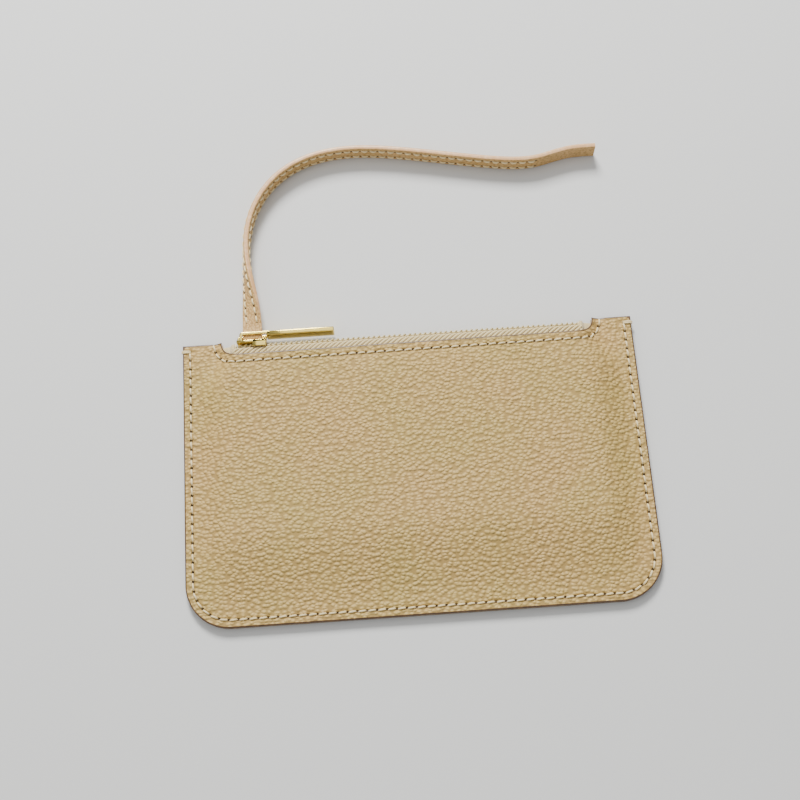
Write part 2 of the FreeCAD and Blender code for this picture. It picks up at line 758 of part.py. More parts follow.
def zip_path():
    """Return the zip seam's stretches, round the cut-out from its left end to its right."""
    radius = size("cutout_depth") + size("zip_seam_inset")
    flat, top, quarter = size("cut_flat"), size("top_edge"), math.pi / 2
    left = Stretch(-flat - radius, top, -quarter, quarter * radius, 1 / radius)
    along = Stretch(-flat, top - radius, 0.0, 2 * flat, 0.0)
    return [left, along, Stretch(flat, top - radius, 0.0, quarter * radius, 1 / radius)]


def stitches_along(path, height):
    """Return evenly spaced stitches along a path; height gives z at a place."""
    total = sum(stretch.length for stretch in path)
    count = round(total / size("stitch_pitch"))
    pitch, length = total / count, size("stitch_length")

    def place(along):
        for stretch in path:
            if along <= stretch.length:
                x, y, _ = stretch.at(along)
                return FreeCAD.Vector(x, y, height(x, y))
            along -= stretch.length
        return place(total)

    middles = [(k + 0.5) * pitch for k in range(count)]
    return [stitch(place(m - length / 2), place(m + length / 2)) for m in middles]


def corner_tacks(height):
    """Return the stitch that closes the rim seam over the edge at each top corner."""
    y = size("top_edge") - size("tack_drop")
    tacks = []
    for side in (-1, 1):
        outer = side * size("pouch_length") / 2
        inner = outer - side * size("seam_inset")
        tacks.append(stitch(*(FreeCAD.Vector(x, y, height(x, y)) for x in (inner, outer))))
    return tacks


def seams():
    """Add the rim seam and the zip seam, as seen on each panel."""
    radius = size("thread_diameter") / 2

    def above(x, y):
        return front_height(x, y) + radius + size("thread_lift")

    def below(x, y):
        return radius

    rim_front = stitches_along(rim_path(), above) + corner_tacks(above)
    for label, stitches in (
        ("seam_thread_front", rim_front),
        ("seam_thread_back", stitches_along(rim_path(), below)),
        ("zip_thread_front", stitches_along(zip_path(), above)),
        ("zip_thread_back", stitches_along(zip_path(), below)),
    ):
        piece(label, solid(f"{label}_stitches", Part.Compound(stitches)))


def check_and_write():
    """Stop at any failed object, then write each piece to its own file."""
    document.recompute()
    for thing in document.Objects:
        if {"Invalid", "Error"} & set(thing.State):
            raise RuntimeError(f"{thing.Label} did not recompute: {thing.State}")
    os.makedirs("parts", exist_ok=True)
    for made in PIECES:
        shape = made.Shape
        if shape.isNull() or not shape.isValid() or not shape.Solids:
            raise RuntimeError(f"{made.Label} is not a valid solid")
        shape.exportStep(f"parts/{made.Label}.step")
        box = shape.BoundBox
        low = [round(edge, 2) for edge in (box.XMin, box.YMin, box.ZMin)]
        high = [round(edge, 2) for edge in (box.XMax, box.YMax, box.ZMax)]
        print(f"{made.Label}: {len(shape.Solids)} solids, {shape.Volume:.1f} mm3, {low} to {high}")


back_panel()
back_lining()
front_pieces()
tapes()
zip_end("zip_end_left", -1)
zip_end("zip_end_right", 1)
coils()
stop("top_stop", -1)
stop("bottom_stop", 1)
slider()
pull()
strap()
seams()
check_and_write()
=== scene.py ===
"""A flat zippered pouch in pebbled leather, with its zip, bar pull and strap, dressed round its CAD frame."""
import logging
import math
from dataclasses import dataclass, field
from enum import Enum
from typing import Callable, Iterable, Sequence

import bmesh
import bpy
from mathutils import Matrix, Vector, kdtree, noise
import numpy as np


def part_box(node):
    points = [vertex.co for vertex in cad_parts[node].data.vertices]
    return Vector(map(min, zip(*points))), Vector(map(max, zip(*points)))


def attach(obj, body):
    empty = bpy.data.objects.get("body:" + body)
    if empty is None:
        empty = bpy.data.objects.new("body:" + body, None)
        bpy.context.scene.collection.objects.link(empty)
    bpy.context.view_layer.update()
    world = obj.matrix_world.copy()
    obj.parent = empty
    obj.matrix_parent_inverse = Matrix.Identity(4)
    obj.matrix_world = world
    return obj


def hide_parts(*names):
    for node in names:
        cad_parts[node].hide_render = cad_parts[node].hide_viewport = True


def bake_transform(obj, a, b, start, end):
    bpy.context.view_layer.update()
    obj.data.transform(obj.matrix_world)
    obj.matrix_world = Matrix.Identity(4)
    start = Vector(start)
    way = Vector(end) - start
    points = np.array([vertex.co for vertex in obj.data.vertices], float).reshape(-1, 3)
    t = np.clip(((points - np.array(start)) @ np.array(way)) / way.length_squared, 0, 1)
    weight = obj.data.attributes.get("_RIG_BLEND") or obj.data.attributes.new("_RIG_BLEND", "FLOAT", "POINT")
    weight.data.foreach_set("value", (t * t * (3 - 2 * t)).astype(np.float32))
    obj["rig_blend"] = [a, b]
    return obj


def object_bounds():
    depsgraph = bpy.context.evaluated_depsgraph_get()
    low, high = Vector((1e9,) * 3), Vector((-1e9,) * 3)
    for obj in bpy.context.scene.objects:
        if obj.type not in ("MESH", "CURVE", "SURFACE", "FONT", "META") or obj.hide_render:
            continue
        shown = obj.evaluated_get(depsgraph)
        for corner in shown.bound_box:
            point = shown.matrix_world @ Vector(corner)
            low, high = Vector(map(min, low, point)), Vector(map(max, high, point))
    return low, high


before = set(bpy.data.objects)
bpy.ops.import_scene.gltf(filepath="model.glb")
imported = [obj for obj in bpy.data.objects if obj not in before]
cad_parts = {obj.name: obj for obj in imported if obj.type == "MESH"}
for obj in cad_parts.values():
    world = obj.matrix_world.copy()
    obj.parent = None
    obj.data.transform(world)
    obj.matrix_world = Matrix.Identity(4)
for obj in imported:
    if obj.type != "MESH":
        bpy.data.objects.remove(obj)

MM = 0.001
REST = "rest"  # vertex attribute: a piece's own flat coordinates, in metres
SEAM = "seam"  # vertex attribute: stitches along the nearest seam, and metres off its line
LOG = logging.getLogger("pouch")
CAD_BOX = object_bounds()


class Slot(Enum):
    """The record's material slots."""

    LEATHER = "pebbled_leather"
    CLOTH = "lining_cloth"
    TAPE = "zip_tape"
    COIL = "nylon_coil"
    BRASS = "polished_brass"
    STRAP = "strap_leather"
    THREAD = "sewing_thread"


# ---- finishes ----


def linear(code: str) -> tuple[float, float, float, float]:
    """Turn an sRGB hex colour into linear light.

    Args:
        code: six hex digits.

    Returns:
        Red, green, blue and an alpha of 1.
    """
    shares = [int(code[k : k + 2], 16) / 255 for k in (0, 2, 4)]
    light = [s / 12.92 if s <= 0.04045 else ((s + 0.055) / 1.055) ** 2.4 for s in shares]
    return light[0], light[1], light[2], 1.0


def add(
    tree: bpy.types.NodeTree, kind: str, inputs: dict | None = None, **settings: object
) -> bpy.types.Node:
    """Add a shader node with its settings and links.

    Args:
        tree: the material's nodes.
        kind: the node's type, without "ShaderNode".
        inputs: socket name or index, to a constant or to the socket that feeds it.
        settings: the node's own properties.

    Returns:
        The new node.
    """
    made = tree.nodes.new(f"ShaderNode{kind}")
    for name, value in settings.items():
        setattr(made, name, value)
    for key, value in (inputs or {}).items():
        if isinstance(value, bpy.types.NodeSocket):
            tree.links.new(value, made.inputs[key])
        else:
            made.inputs[key].default_value = value
    return made


def calc(tree: bpy.types.NodeTree, operation: str, *values: object) -> bpy.types.NodeSocket:
    """Return what a maths node makes of its values, each a number or a socket."""
    return add(tree, "Math", dict(enumerate(values)), operation=operation).outputs[0]


def mapped(
    tree: bpy.types.NodeTree, value: bpy.types.NodeSocket, smooth: bool = False, **ends: float
) -> bpy.types.NodeSocket:
    """Return a value moved from one range to another, both 0 to 1 unless their ends are given.

    Args:
        tree: the material's nodes.
        value: the value's socket.
        smooth: whether to ease in and out.
        ends: any of from_min, from_max, to_min and to_max.

    Returns:
        The moved value's socket.
    """
    inputs = {"Value": value} | {name.replace("_", " ").title(): end for name, end in ends.items()}
    kind = "SMOOTHSTEP" if smooth else "LINEAR"
    return add(tree, "MapRange", inputs, interpolation_type=kind).outputs[0]


def between(tree: bpy.types.NodeTree, share: object, low: object, high: object) -> bpy.types.NodeSocket:
    """Return a mix of two colours, each a hex code or a socket."""
    low, high = (linear(colour) if isinstance(colour, str) else colour for colour in (low, high))
    return add(tree, "Mix", {0: share, 6: low, 7: high}, data_type="RGBA").outputs[2]


def mottle(
    tree: bpy.types.NodeTree, at: bpy.types.NodeSocket, size: float, detail: float
) -> bpy.types.NodeSocket:
    """Return a noise whose blots are a size in millimetres across."""
    return add(tree, "TexNoise", {"Vector": at, "Scale": 1 / (size * MM), "Detail": detail}).outputs[0]


def bumped(
    tree: bpy.types.NodeTree, height: bpy.types.NodeSocket, depth: float, strength: float = 1.0
) -> bpy.types.NodeSocket:
    """Return the surface's direction, bumped by a height that is so many millimetres deep."""
    return add(tree, "Bump", {"Strength": strength, "Distance": depth * MM, "Height": height}).outputs[0]


@dataclass(frozen=True)
class Finish:
    """A surface finish, made into one material."""

    name: str
    slot: Slot

    def inputs(self, tree: bpy.types.NodeTree) -> dict:
        """Return what the surface shader's sockets take."""
        raise NotImplementedError

    def material(self) -> bpy.types.Material:
        """Return the finish's material, making it the first time."""
        made = bpy.data.materials.get(self.name)
        if made is None:
            made = bpy.data.materials.new(self.name)
            made.use_nodes = True
            tree = made.node_tree
            tree.nodes.clear()
            shader = add(tree, "BsdfPrincipled", self.inputs(tree))
            add(tree, "OutputMaterial", {"Surface": shader.outputs[0]})
        return made


@dataclass(frozen=True)
class GrainedLeather(Finish):
    """Drum-dyed calf leather with a shrunken pebble grain: soft domes, satin, with painted shade in the
    creases and a painted highlight on the crowns.
    """

    pebble: tuple[float, float] = (2.0, 1.55)  # mm along and across
    depth: float = 0.5  # mm from crease to crown
    tones: tuple[str, str] = ("BBA05B", "C4A162")
    # painted shade: the colour of the creases between the pebbles
    crease: str = "8E7038"
    # painted highlight: the colour of the pebbles' crowns
    crown: str = "D5B774"
    pitch: float = 4.1  # mm between needle holes
    hole: tuple[float, float] = (0.75, 0.5)  # mm, half length and half width of a needle hole
    # painted shade: the dark colour put in the needle holes
    painted_hole_shade: str = "4A3519"
    hole_depth: float = 1.6  # of the grain's depth
    drift_size: float = 3.2  # mm, what bends the rows of pebbles
    drift_reach: float = 0.4  # of a pebble
    pore_size: float = 0.45  # mm
    pore_depth: float = 0.12  # of the grain's depth
    patch_size: float = 9.0  # mm between bold and faint grain
    cloud_size: float = 38.0  # mm between the two tones
    roughness: float = 0.52

    def inputs(self, tree: bpy.types.NodeTree) -> dict:
        """Grow warped cells for the pebbles, then sink the needle holes. The colour carries painted shade in
        the creases and holes and a painted highlight on the crowns.
        """
        rest = add(tree, "Attribute", attribute_name=REST).outputs["Vector"]
        drift = add(tree, "TexNoise", {"Vector": rest, "Scale": 1 / (self.drift_size * MM), "Detail": 1.0})
        drift = add(tree, "VectorMath", {0: drift.outputs["Color"], 1: (0.5, 0.5, 0.5)}, operation="SUBTRACT")
        spread = self.pebble[0] * self.drift_reach * MM
        place = {0: drift.outputs[0], 1: (spread, spread, 0.0), 2: rest}
        moved = add(tree, "VectorMath", place, operation="MULTIPLY_ADD").outputs[0]
        scale = (1 / (self.pebble[0] * MM), 1 / (self.pebble[1] * MM), 1.0)
        cells = add(tree, "Mapping", {"Vector": moved, "Scale": scale}).outputs[0]
        dots = add(
            tree, "TexVoronoi", {"Vector": cells, "Scale": 1.0, "Randomness": 1.0, "Smoothness": 0.25},
            feature="SMOOTH_F1", voronoi_dimensions="2D",
        )
        dome = mapped(tree, dots.outputs["Distance"], smooth=True, from_min=0.7, from_max=0.08)
        patch = mottle(tree, rest, self.patch_size, 2.0)
        raised = calc(tree, "MULTIPLY", dome, mapped(tree, patch, from_min=0.3, from_max=0.7, to_min=0.6))
        pores = mottle(tree, rest, self.pore_size, 2.0)
        hole = self.holes(tree)
        height = calc(tree, "MULTIPLY_ADD", pores, self.pore_depth, raised)
        height = calc(tree, "MULTIPLY_ADD", hole, -self.hole_depth, height)
        cloud = mapped(tree, mottle(tree, rest, self.cloud_size, 3.0), from_min=0.35, from_max=0.65)
        colour = between(tree, cloud, *self.tones)
        # painted highlight: the raised crowns are mixed towards the crown colour
        colour = between(tree, mapped(tree, raised, from_min=0.4, to_max=0.3), colour, self.crown)
        # painted shade: the low creases are mixed towards the crease colour
        sunk = mapped(tree, raised, from_max=0.4, to_min=0.55, to_max=0.0)
        colour = between(tree, sunk, colour, self.crease)
        rough = {"to_min": self.roughness + 0.14, "to_max": self.roughness - 0.06}
        return {
            # painted shade: the needle holes are darkened towards the hole colour
            "Base Color": between(tree, hole, colour, self.painted_hole_shade),
            "Roughness": mapped(tree, raised, **rough),
            "Normal": bumped(tree, height, self.depth),
            "IOR": 1.46,
            "Specular IOR Level": 0.42,
        }

    def holes(self, tree: bpy.types.NodeTree) -> bpy.types.NodeSocket:
        """Return a mask that is 1 in the needle holes."""
        seam = add(tree, "Attribute", attribute_name=SEAM).outputs["Vector"]
        parts = add(tree, "SeparateXYZ", {0: seam})
        along = calc(tree, "PINGPONG", parts.outputs[0], 0.5)
        along = calc(tree, "MULTIPLY", along, self.pitch / self.hole[0])
        across = calc(tree, "MULTIPLY", parts.outputs[1], 1 / (self.hole[1] * MM))
        flat = add(tree, "CombineXYZ", {0: along, 1: across}).outputs[0]
        reach = add(tree, "VectorMath", {0: flat}, operation="LENGTH").outputs["Value"]
        return mapped(tree, reach, smooth=True, from_min=0.7, from_max=1.3, to_min=1.0, to_max=0.0)


@dataclass(frozen=True)
class EdgePaint(Finish):
    """Acrylic edge paint brushed over cut leather: rounded, slightly glossy, a little uneven."""

    colour: str = "8B6B4A"
    worn: str = "A98A64"
    brush: float = 1.8  # mm between thick and thin paint
    relief: float = 0.08  # mm
    roughness: float = 0.36

    def inputs(self, tree: bpy.types.NodeTree) -> dict:
        """Vary the paint's thickness along the edge."""
        at = add(tree, "Attribute", attribute_name=REST).outputs["Vector"]
        film = mottle(tree, at, self.brush, 3.0)
        thin = mapped(tree, film, from_min=0.45, from_max=0.75)
        return {
            "Base Color": between(tree, thin, self.colour, self.worn),
            "Roughness": self.roughness,
            "Normal": bumped(tree, film, self.relief, 0.5),
        }


@dataclass(frozen=True)
class Woven(Finish):
    """Plain-woven polyester: threads over and under, drawn a little coarse so that they show, with painted
    shade between the threads and a painted highlight on their crowns.
    """

    thread: float = 0.5  # mm between threads
    # painted highlight: the colour of the thread crowns
    high: str = "EDE0BC"
    # painted shade: the colour between the threads
    low: str = "B3A27A"
    relief: float = 0.07  # mm
    fuzz_size: float = 2.5  # mm between paler and darker cloth
    roughness: float = 0.7
    rib: tuple[float, float] = (0.0, 1.0)  # mm between diagonal ribs, none at 0, and their slope

    def inputs(self, tree: bpy.types.NodeTree) -> dict:
        """Cross two sets of threads, painting shade between them and a highlight on their crowns."""
        rest = add(tree, "Attribute", attribute_name=REST).outputs["Vector"]
        turn = 2 * math.pi / (2 * self.thread * MM)
        parts = add(tree, "SeparateXYZ", {0: rest})
        waves = []
        for axis in (0, 1):
            waves.append(calc(tree, "SINE", calc(tree, "MULTIPLY", parts.outputs[axis], turn)))
        over = mapped(tree, calc(tree, "MULTIPLY", *waves), smooth=True, from_min=-1.0)
        fuzz = mottle(tree, rest, self.fuzz_size, 3.0)
        # painted shade and highlight from the weave, varied by random paler and darker cloth
        mixed = mapped(tree, calc(tree, "MULTIPLY", over, fuzz), from_max=0.6)
        # painted shade: the colour darkens in the grooves between the diagonal ribs
        if self.rib[0]:
            lean = calc(tree, "MULTIPLY_ADD", parts.outputs[1], -1 / self.rib[1], parts.outputs[0])
            phase = calc(tree, "MULTIPLY", lean, 1 / (self.rib[0] * MM))
            groove = calc(tree, "PINGPONG", phase, 0.5)
            painted_rib_light = mapped(tree, groove, smooth=True, from_min=0.5, from_max=0.18)
            mixed = calc(tree, "MULTIPLY", mapped(tree, mixed, to_min=0.6), painted_rib_light)
        return {
            "Base Color": between(tree, mixed, self.low, self.high),
            "Roughness": self.roughness,
            "Normal": bumped(tree, over, self.relief),
            "Sheen Weight": 0.25,
            "Sheen Roughness": 0.4,
        }


@dataclass(frozen=True)
class Nylon(Finish):
    """Extruded nylon monofilament: smooth, slightly milky, satin."""

    colour: str = "E3D5A8"
    shade: str = "CDBB88"
    cloud_size: float = 1.5  # mm
    relief: float = 0.02  # mm
    roughness: float = 0.34

    def inputs(self, tree: bpy.types.NodeTree) -> dict:
        """Cloud the filament faintly."""
        at = add(tree, "TexCoord").outputs["Object"]
        cloud = mottle(tree, at, self.cloud_size, 2.0)
        return {
            "Base Color": between(tree, cloud, self.shade, self.colour),
            "Roughness": self.roughness,
            "IOR": 1.53,
            "Normal": bumped(tree, cloud, self.relief, 0.3),
        }


@dataclass(frozen=True)
class PolishedBrass(Finish):
    """Die-cast zinc with a pale gold plating, polished: sharp reflections, hairline scratches from wear."""

    gold: str = "F6DE80"
    dull: str = "E8CB64"
    scratch: tuple[float, float] = (9.0, 0.25)  # mm long and wide
    relief: float = 0.01  # mm
    wear_size: float = 5.0  # mm between bright and dull plating
    roughness: tuple[float, float] = (0.08, 0.17)

    def inputs(self, tree: bpy.types.NodeTree) -> dict:
        """Polish the plating, with faint scratches along its length."""
        at = add(tree, "TexCoord").outputs["Object"]
        long, thin = (1 / (length * MM) for length in self.scratch)
        drawn = add(tree, "Mapping", {"Vector": at, "Scale": (long, thin, thin)})
        lines = add(tree, "TexNoise", {"Vector": drawn.outputs[0], "Scale": 1.0, "Detail": 3.0}).outputs[0]
        worn = mottle(tree, at, self.wear_size, 2.0)
        smooth, rough = self.roughness
        return {
            "Base Color": between(tree, worn, self.dull, self.gold),
            "Metallic": 1.0,
            "Roughness": mapped(tree, lines, from_min=0.3, from_max=0.7, to_min=smooth, to_max=rough),
            "Normal": bumped(tree, lines, self.relief, 0.15),
        }


@dataclass(frozen=True)
class WaxedThread(Finish):
    """Twisted polyester sewing thread, waxed: pale, with the slant of its strands showing through painted
    shade in the grooves and a painted highlight on the strands.
    """

    # painted highlight: the colour of the strands' crowns
    light: str = "FFF0C2"
    # painted shade: the colour of the grooves between the strands
    groove: str = "D9BE80"
    strand: float = 0.55  # mm along the thread per strand
    relief: float = 0.06  # mm
    roughness: float = 0.55

    def inputs(self, tree: bpy.types.NodeTree) -> dict:
        """Slant the strands round the thread, with painted shade in their grooves and a painted highlight on
        their crowns.
        """
        rest = add(tree, "Attribute", attribute_name=REST).outputs["Vector"]
        parts = add(tree, "SeparateXYZ", {0: rest})
        turn = 2 * math.pi / (self.strand * MM)
        angle = calc(tree, "MULTIPLY", parts.outputs[0], turn)
        lean = calc(tree, "MULTIPLY_ADD", parts.outputs[1], turn, angle)
        over = mapped(tree, calc(tree, "SINE", lean), from_min=-1.0)
        return {
            "Base Color": between(tree, over, self.groove, self.light),
            "Roughness": self.roughness,
            "Normal": bumped(tree, over, self.relief, 0.6),
            "Sheen Weight": 0.15,
        }


@dataclass(frozen=True)
class Plaster(Finish):
    """Smooth matt studio floor."""

    colour: str = "D9D9D6"
    roughness: float = 0.75

    def inputs(self, tree: bpy.types.NodeTree) -> dict:
        """Return an even pale floor."""
        return {"Base Color": linear(self.colour), "Roughness": self.roughness, "Specular IOR Level": 0.3}


LEATHER = GrainedLeather("pebbled_calf_leather", Slot.LEATHER)
# its crease colour is painted shade and its crown colour a painted highlight
SUEDE = GrainedLeather(
    "leather_flesh_side", Slot.LEATHER, pebble=(0.7, 0.7), depth=0.1, crease="9C8257", crown="CDB78A",
    roughness=0.75,
)
PANEL_EDGE = EdgePaint("brown_edge_paint", Slot.LEATHER, colour="4E351D", worn="6E4E2C")
# its crease colour is painted shade and its crown colour a painted highlight
STRAP_LEATHER = GrainedLeather(
    "fine_grain_strap_leather", Slot.STRAP, pebble=(1.3, 0.9), depth=0.2, tones=("C29B5C", "CDA46A"),
    crease="99743F", crown="D9B57C", hole=(0.7, 0.4), roughness=0.5,
)
STRAP_EDGE = EdgePaint("peach_edge_paint", Slot.STRAP, colour="D9A873", worn="E8C092")
# high is a painted highlight on the thread crowns and low painted shade between them
LINING = Woven("lining_weave", Slot.CLOTH, thread=0.45, high="C9B58A", low="8E7A52", relief=0.04)
# its dark low colour is also the painted shade in the rib grooves
TAPE = Woven(
    "zip_tape_weave", Slot.TAPE, thread=0.4, high="F3DFA8", low="94773F", relief=0.05, rib=(2.28, 0.78)
)
# high is a painted highlight on the thread crowns and low painted shade between them
PLAIN_TAPE = Woven("folded_tape_weave", Slot.TAPE, thread=0.4, high="F6E6B8", low="CDB57E", relief=0.05)
COIL = Nylon("nylon_monofilament", Slot.COIL)
BRASS = PolishedBrass("pale_gold_plating", Slot.BRASS)
THREAD = WaxedThread("waxed_thread", Slot.THREAD)
FLOOR = Plaster("matt_floor", Slot.CLOTH)


# ---- mesh tools ----


def finished(
    bm: bmesh.types.BMesh, name: str, finishes: Sequence[Finish], smooth: float = 40.0
) -> bpy.types.Object:
    """Turn a bmesh into a piece that replaces the CAD node of the same name.

    Args:
        bm: the shape in the row frame, which is freed.
        name: the CAD node that it stands for.
        finishes: one for each material index.
        smooth: faces that meet at less than this many degrees are shaded as one.

    Returns:
        The new object.
    """
    for edge in bm.edges:
        edge.smooth = len(edge.link_faces) != 2 or edge.calc_face_angle(0.0) < math.radians(smooth)
    for face in bm.faces:
        face.smooth = True
    mesh = bpy.data.meshes.new(f"{name}_mesh")
    bm.to_mesh(mesh)
    bm.free()
    for finish in finishes:
        mesh.materials.append(finish.material())
    made = bpy.data.objects.new(f"{name}_piece", mesh)
    bpy.context.scene.collection.objects.link(made)
    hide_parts(name)
    LOG.info("%s: %d faces", made.name, len(mesh.polygons))
    return made


def coordinates(bm: bmesh.types.BMesh, name: str = REST) -> bmesh.types.BMLayerItem:
    """Return a bmesh's vector attribute of that name, adding it the first time."""
    layers = bm.verts.layers.float_vector
    return layers.get(name) or layers.new(name)


def sweep(bm: bmesh.types.BMesh, section: Sequence[tuple[float, float]], stations: Sequence[Matrix]) -> None:
    """Extrude a closed section through a row of frames.

    Args:
        bm: takes the swept shape, its ends closed.
        section: the section's points, in each frame's x and y.
        stations: the frames, whose z runs along the sweep.
    """
    rest = coordinates(bm)
    ring = [bm.verts.new(stations[0] @ Vector((x, y, 0))) for x, y in section]
    for vert, (x, y) in zip(ring, section):
        vert[rest] = (0.0, x, y)
    edges = [bm.edges.new((a, b)) for a, b in zip(ring, ring[1:] + ring[:1])]
    whole = [bm.faces.new(ring[::-1])]
    gone = 0.0
    for last, frame_here in zip(stations, stations[1:]):
        gone += (frame_here.translation - last.translation).length
        grown = bmesh.ops.extrude_edge_only(bm, edges=edges)["geom"]
        verts = [item for item in grown if isinstance(item, bmesh.types.BMVert)]
        edges = [item for item in grown if isinstance(item, bmesh.types.BMEdge)]
        whole += [item for item in grown if isinstance(item, bmesh.types.BMFace)]
        bmesh.ops.transform(bm, matrix=frame_here @ last.inverted(), verts=verts)
        for vert in verts:
            vert[rest] = (gone, vert[rest][1], vert[rest][2])
    whole += bmesh.ops.contextual_create(bm, geom=edges)["faces"]
    bmesh.ops.recalc_face_normals(bm, faces=whole)


def frame_at(origin: Vector, along: Vector, side: Vector) -> Matrix:
    """Return a frame at origin whose z is along and whose x is nearest to side."""
    z = along.normalized()
    y = z.cross(side).normalized()
    x = y.cross(z)
    made = Matrix((x, y, z)).transposed().to_4x4()
    made.translation = origin
    return made


def frames_along(points: Sequence[Vector], side: Vector) -> list[Matrix]:
    """Return a frame at each point, whose z follows the line and whose x is nearest to side."""
    made = []
    for k, point in enumerate(points):
        ahead = points[min(k + 1, len(points) - 1)] - points[max(k - 1, 0)]
        made.append(frame_at(point, ahead, side))
    return made


def circle(radius: float, sides: int) -> list[tuple[float, float]]:
    """Return the points of a round section."""
    turns = [2 * math.pi * k / sides for k in range(sides)]
    return [(radius * math.cos(turn), radius * math.sin(turn)) for turn in turns]


def rounded_section(width: float, height: float, radius: float, steps: int = 3) -> list[tuple[float, float]]:
    """Return the points of a rectangular section with round corners, about its middle."""
    points = []
    for quarter, (sx, sy) in enumerate(((1, 1), (-1, 1), (-1, -1), (1, -1))):
        for k in range(steps + 1):
            turn = math.radians(90) * (quarter + k / steps)
            cx, cy = sx * (width / 2 - radius), sy * (height / 2 - radius)
            points.append((cx + radius * math.cos(turn), cy + radius * math.sin(turn)))
    return points


def rounded_block(bm: bmesh.types.BMesh, low: Sequence[float], high: Sequence[float], radius: float) -> None:
    """Add a block between two corners, every edge rounded."""
    corners = bmesh.ops.create_cube(bm, size=1.0)["verts"]
    low, high = Vector(low), Vector(high)
    bmesh.ops.scale(bm, vec=high - low, verts=corners)
    bmesh.ops.translate(bm, vec=(low + high) / 2, verts=corners)
    edges = list({edge for vert in corners for edge in vert.link_edges})
    bmesh.ops.bevel(bm, geom=edges, offset=radius, segments=3, profile=0.5, affect="EDGES", material=-1)


def smooth_line(name: str, points: Sequence[Vector], resolution: int) -> list[Vector]:
    """Return the points of a NURBS line through a route's control points.

    Args:
        name: what to call the curve while it is read.
        points: the control points.
        resolution: steps per control point.

    Returns:
        The line's points, in order.
    """
    data = bpy.data.curves.new(name, "CURVE")
    data.dimensions = "3D"
    data.resolution_u = resolution
    spline = data.splines.new("NURBS")
    spline.points.add(len(points) - 1)
    for point, place in zip(spline.points, points):
        point.co = (*place, 1.0)
    spline.order_u = 3
    spline.use_endpoint_u = True
    holder = bpy.data.objects.new(name, data)
    bpy.context.scene.collection.objects.link(holder)
    bpy.context.view_layer.update()
    line = bpy.data.meshes.new_from_object(holder)
    found = [vert.co.copy() for vert in line.vertices]
    bpy.data.objects.remove(holder)
    bpy.data.meshes.remove(line)
    bpy.data.curves.remove(data)
    return found


def eased(share: float) -> float:
    """Return a smooth step from 0 to 1."""
    share = min(max(share, 0.0), 1.0)
    return share * share * (3.0 - 2.0 * share)


# ---- the outline and its seams ----


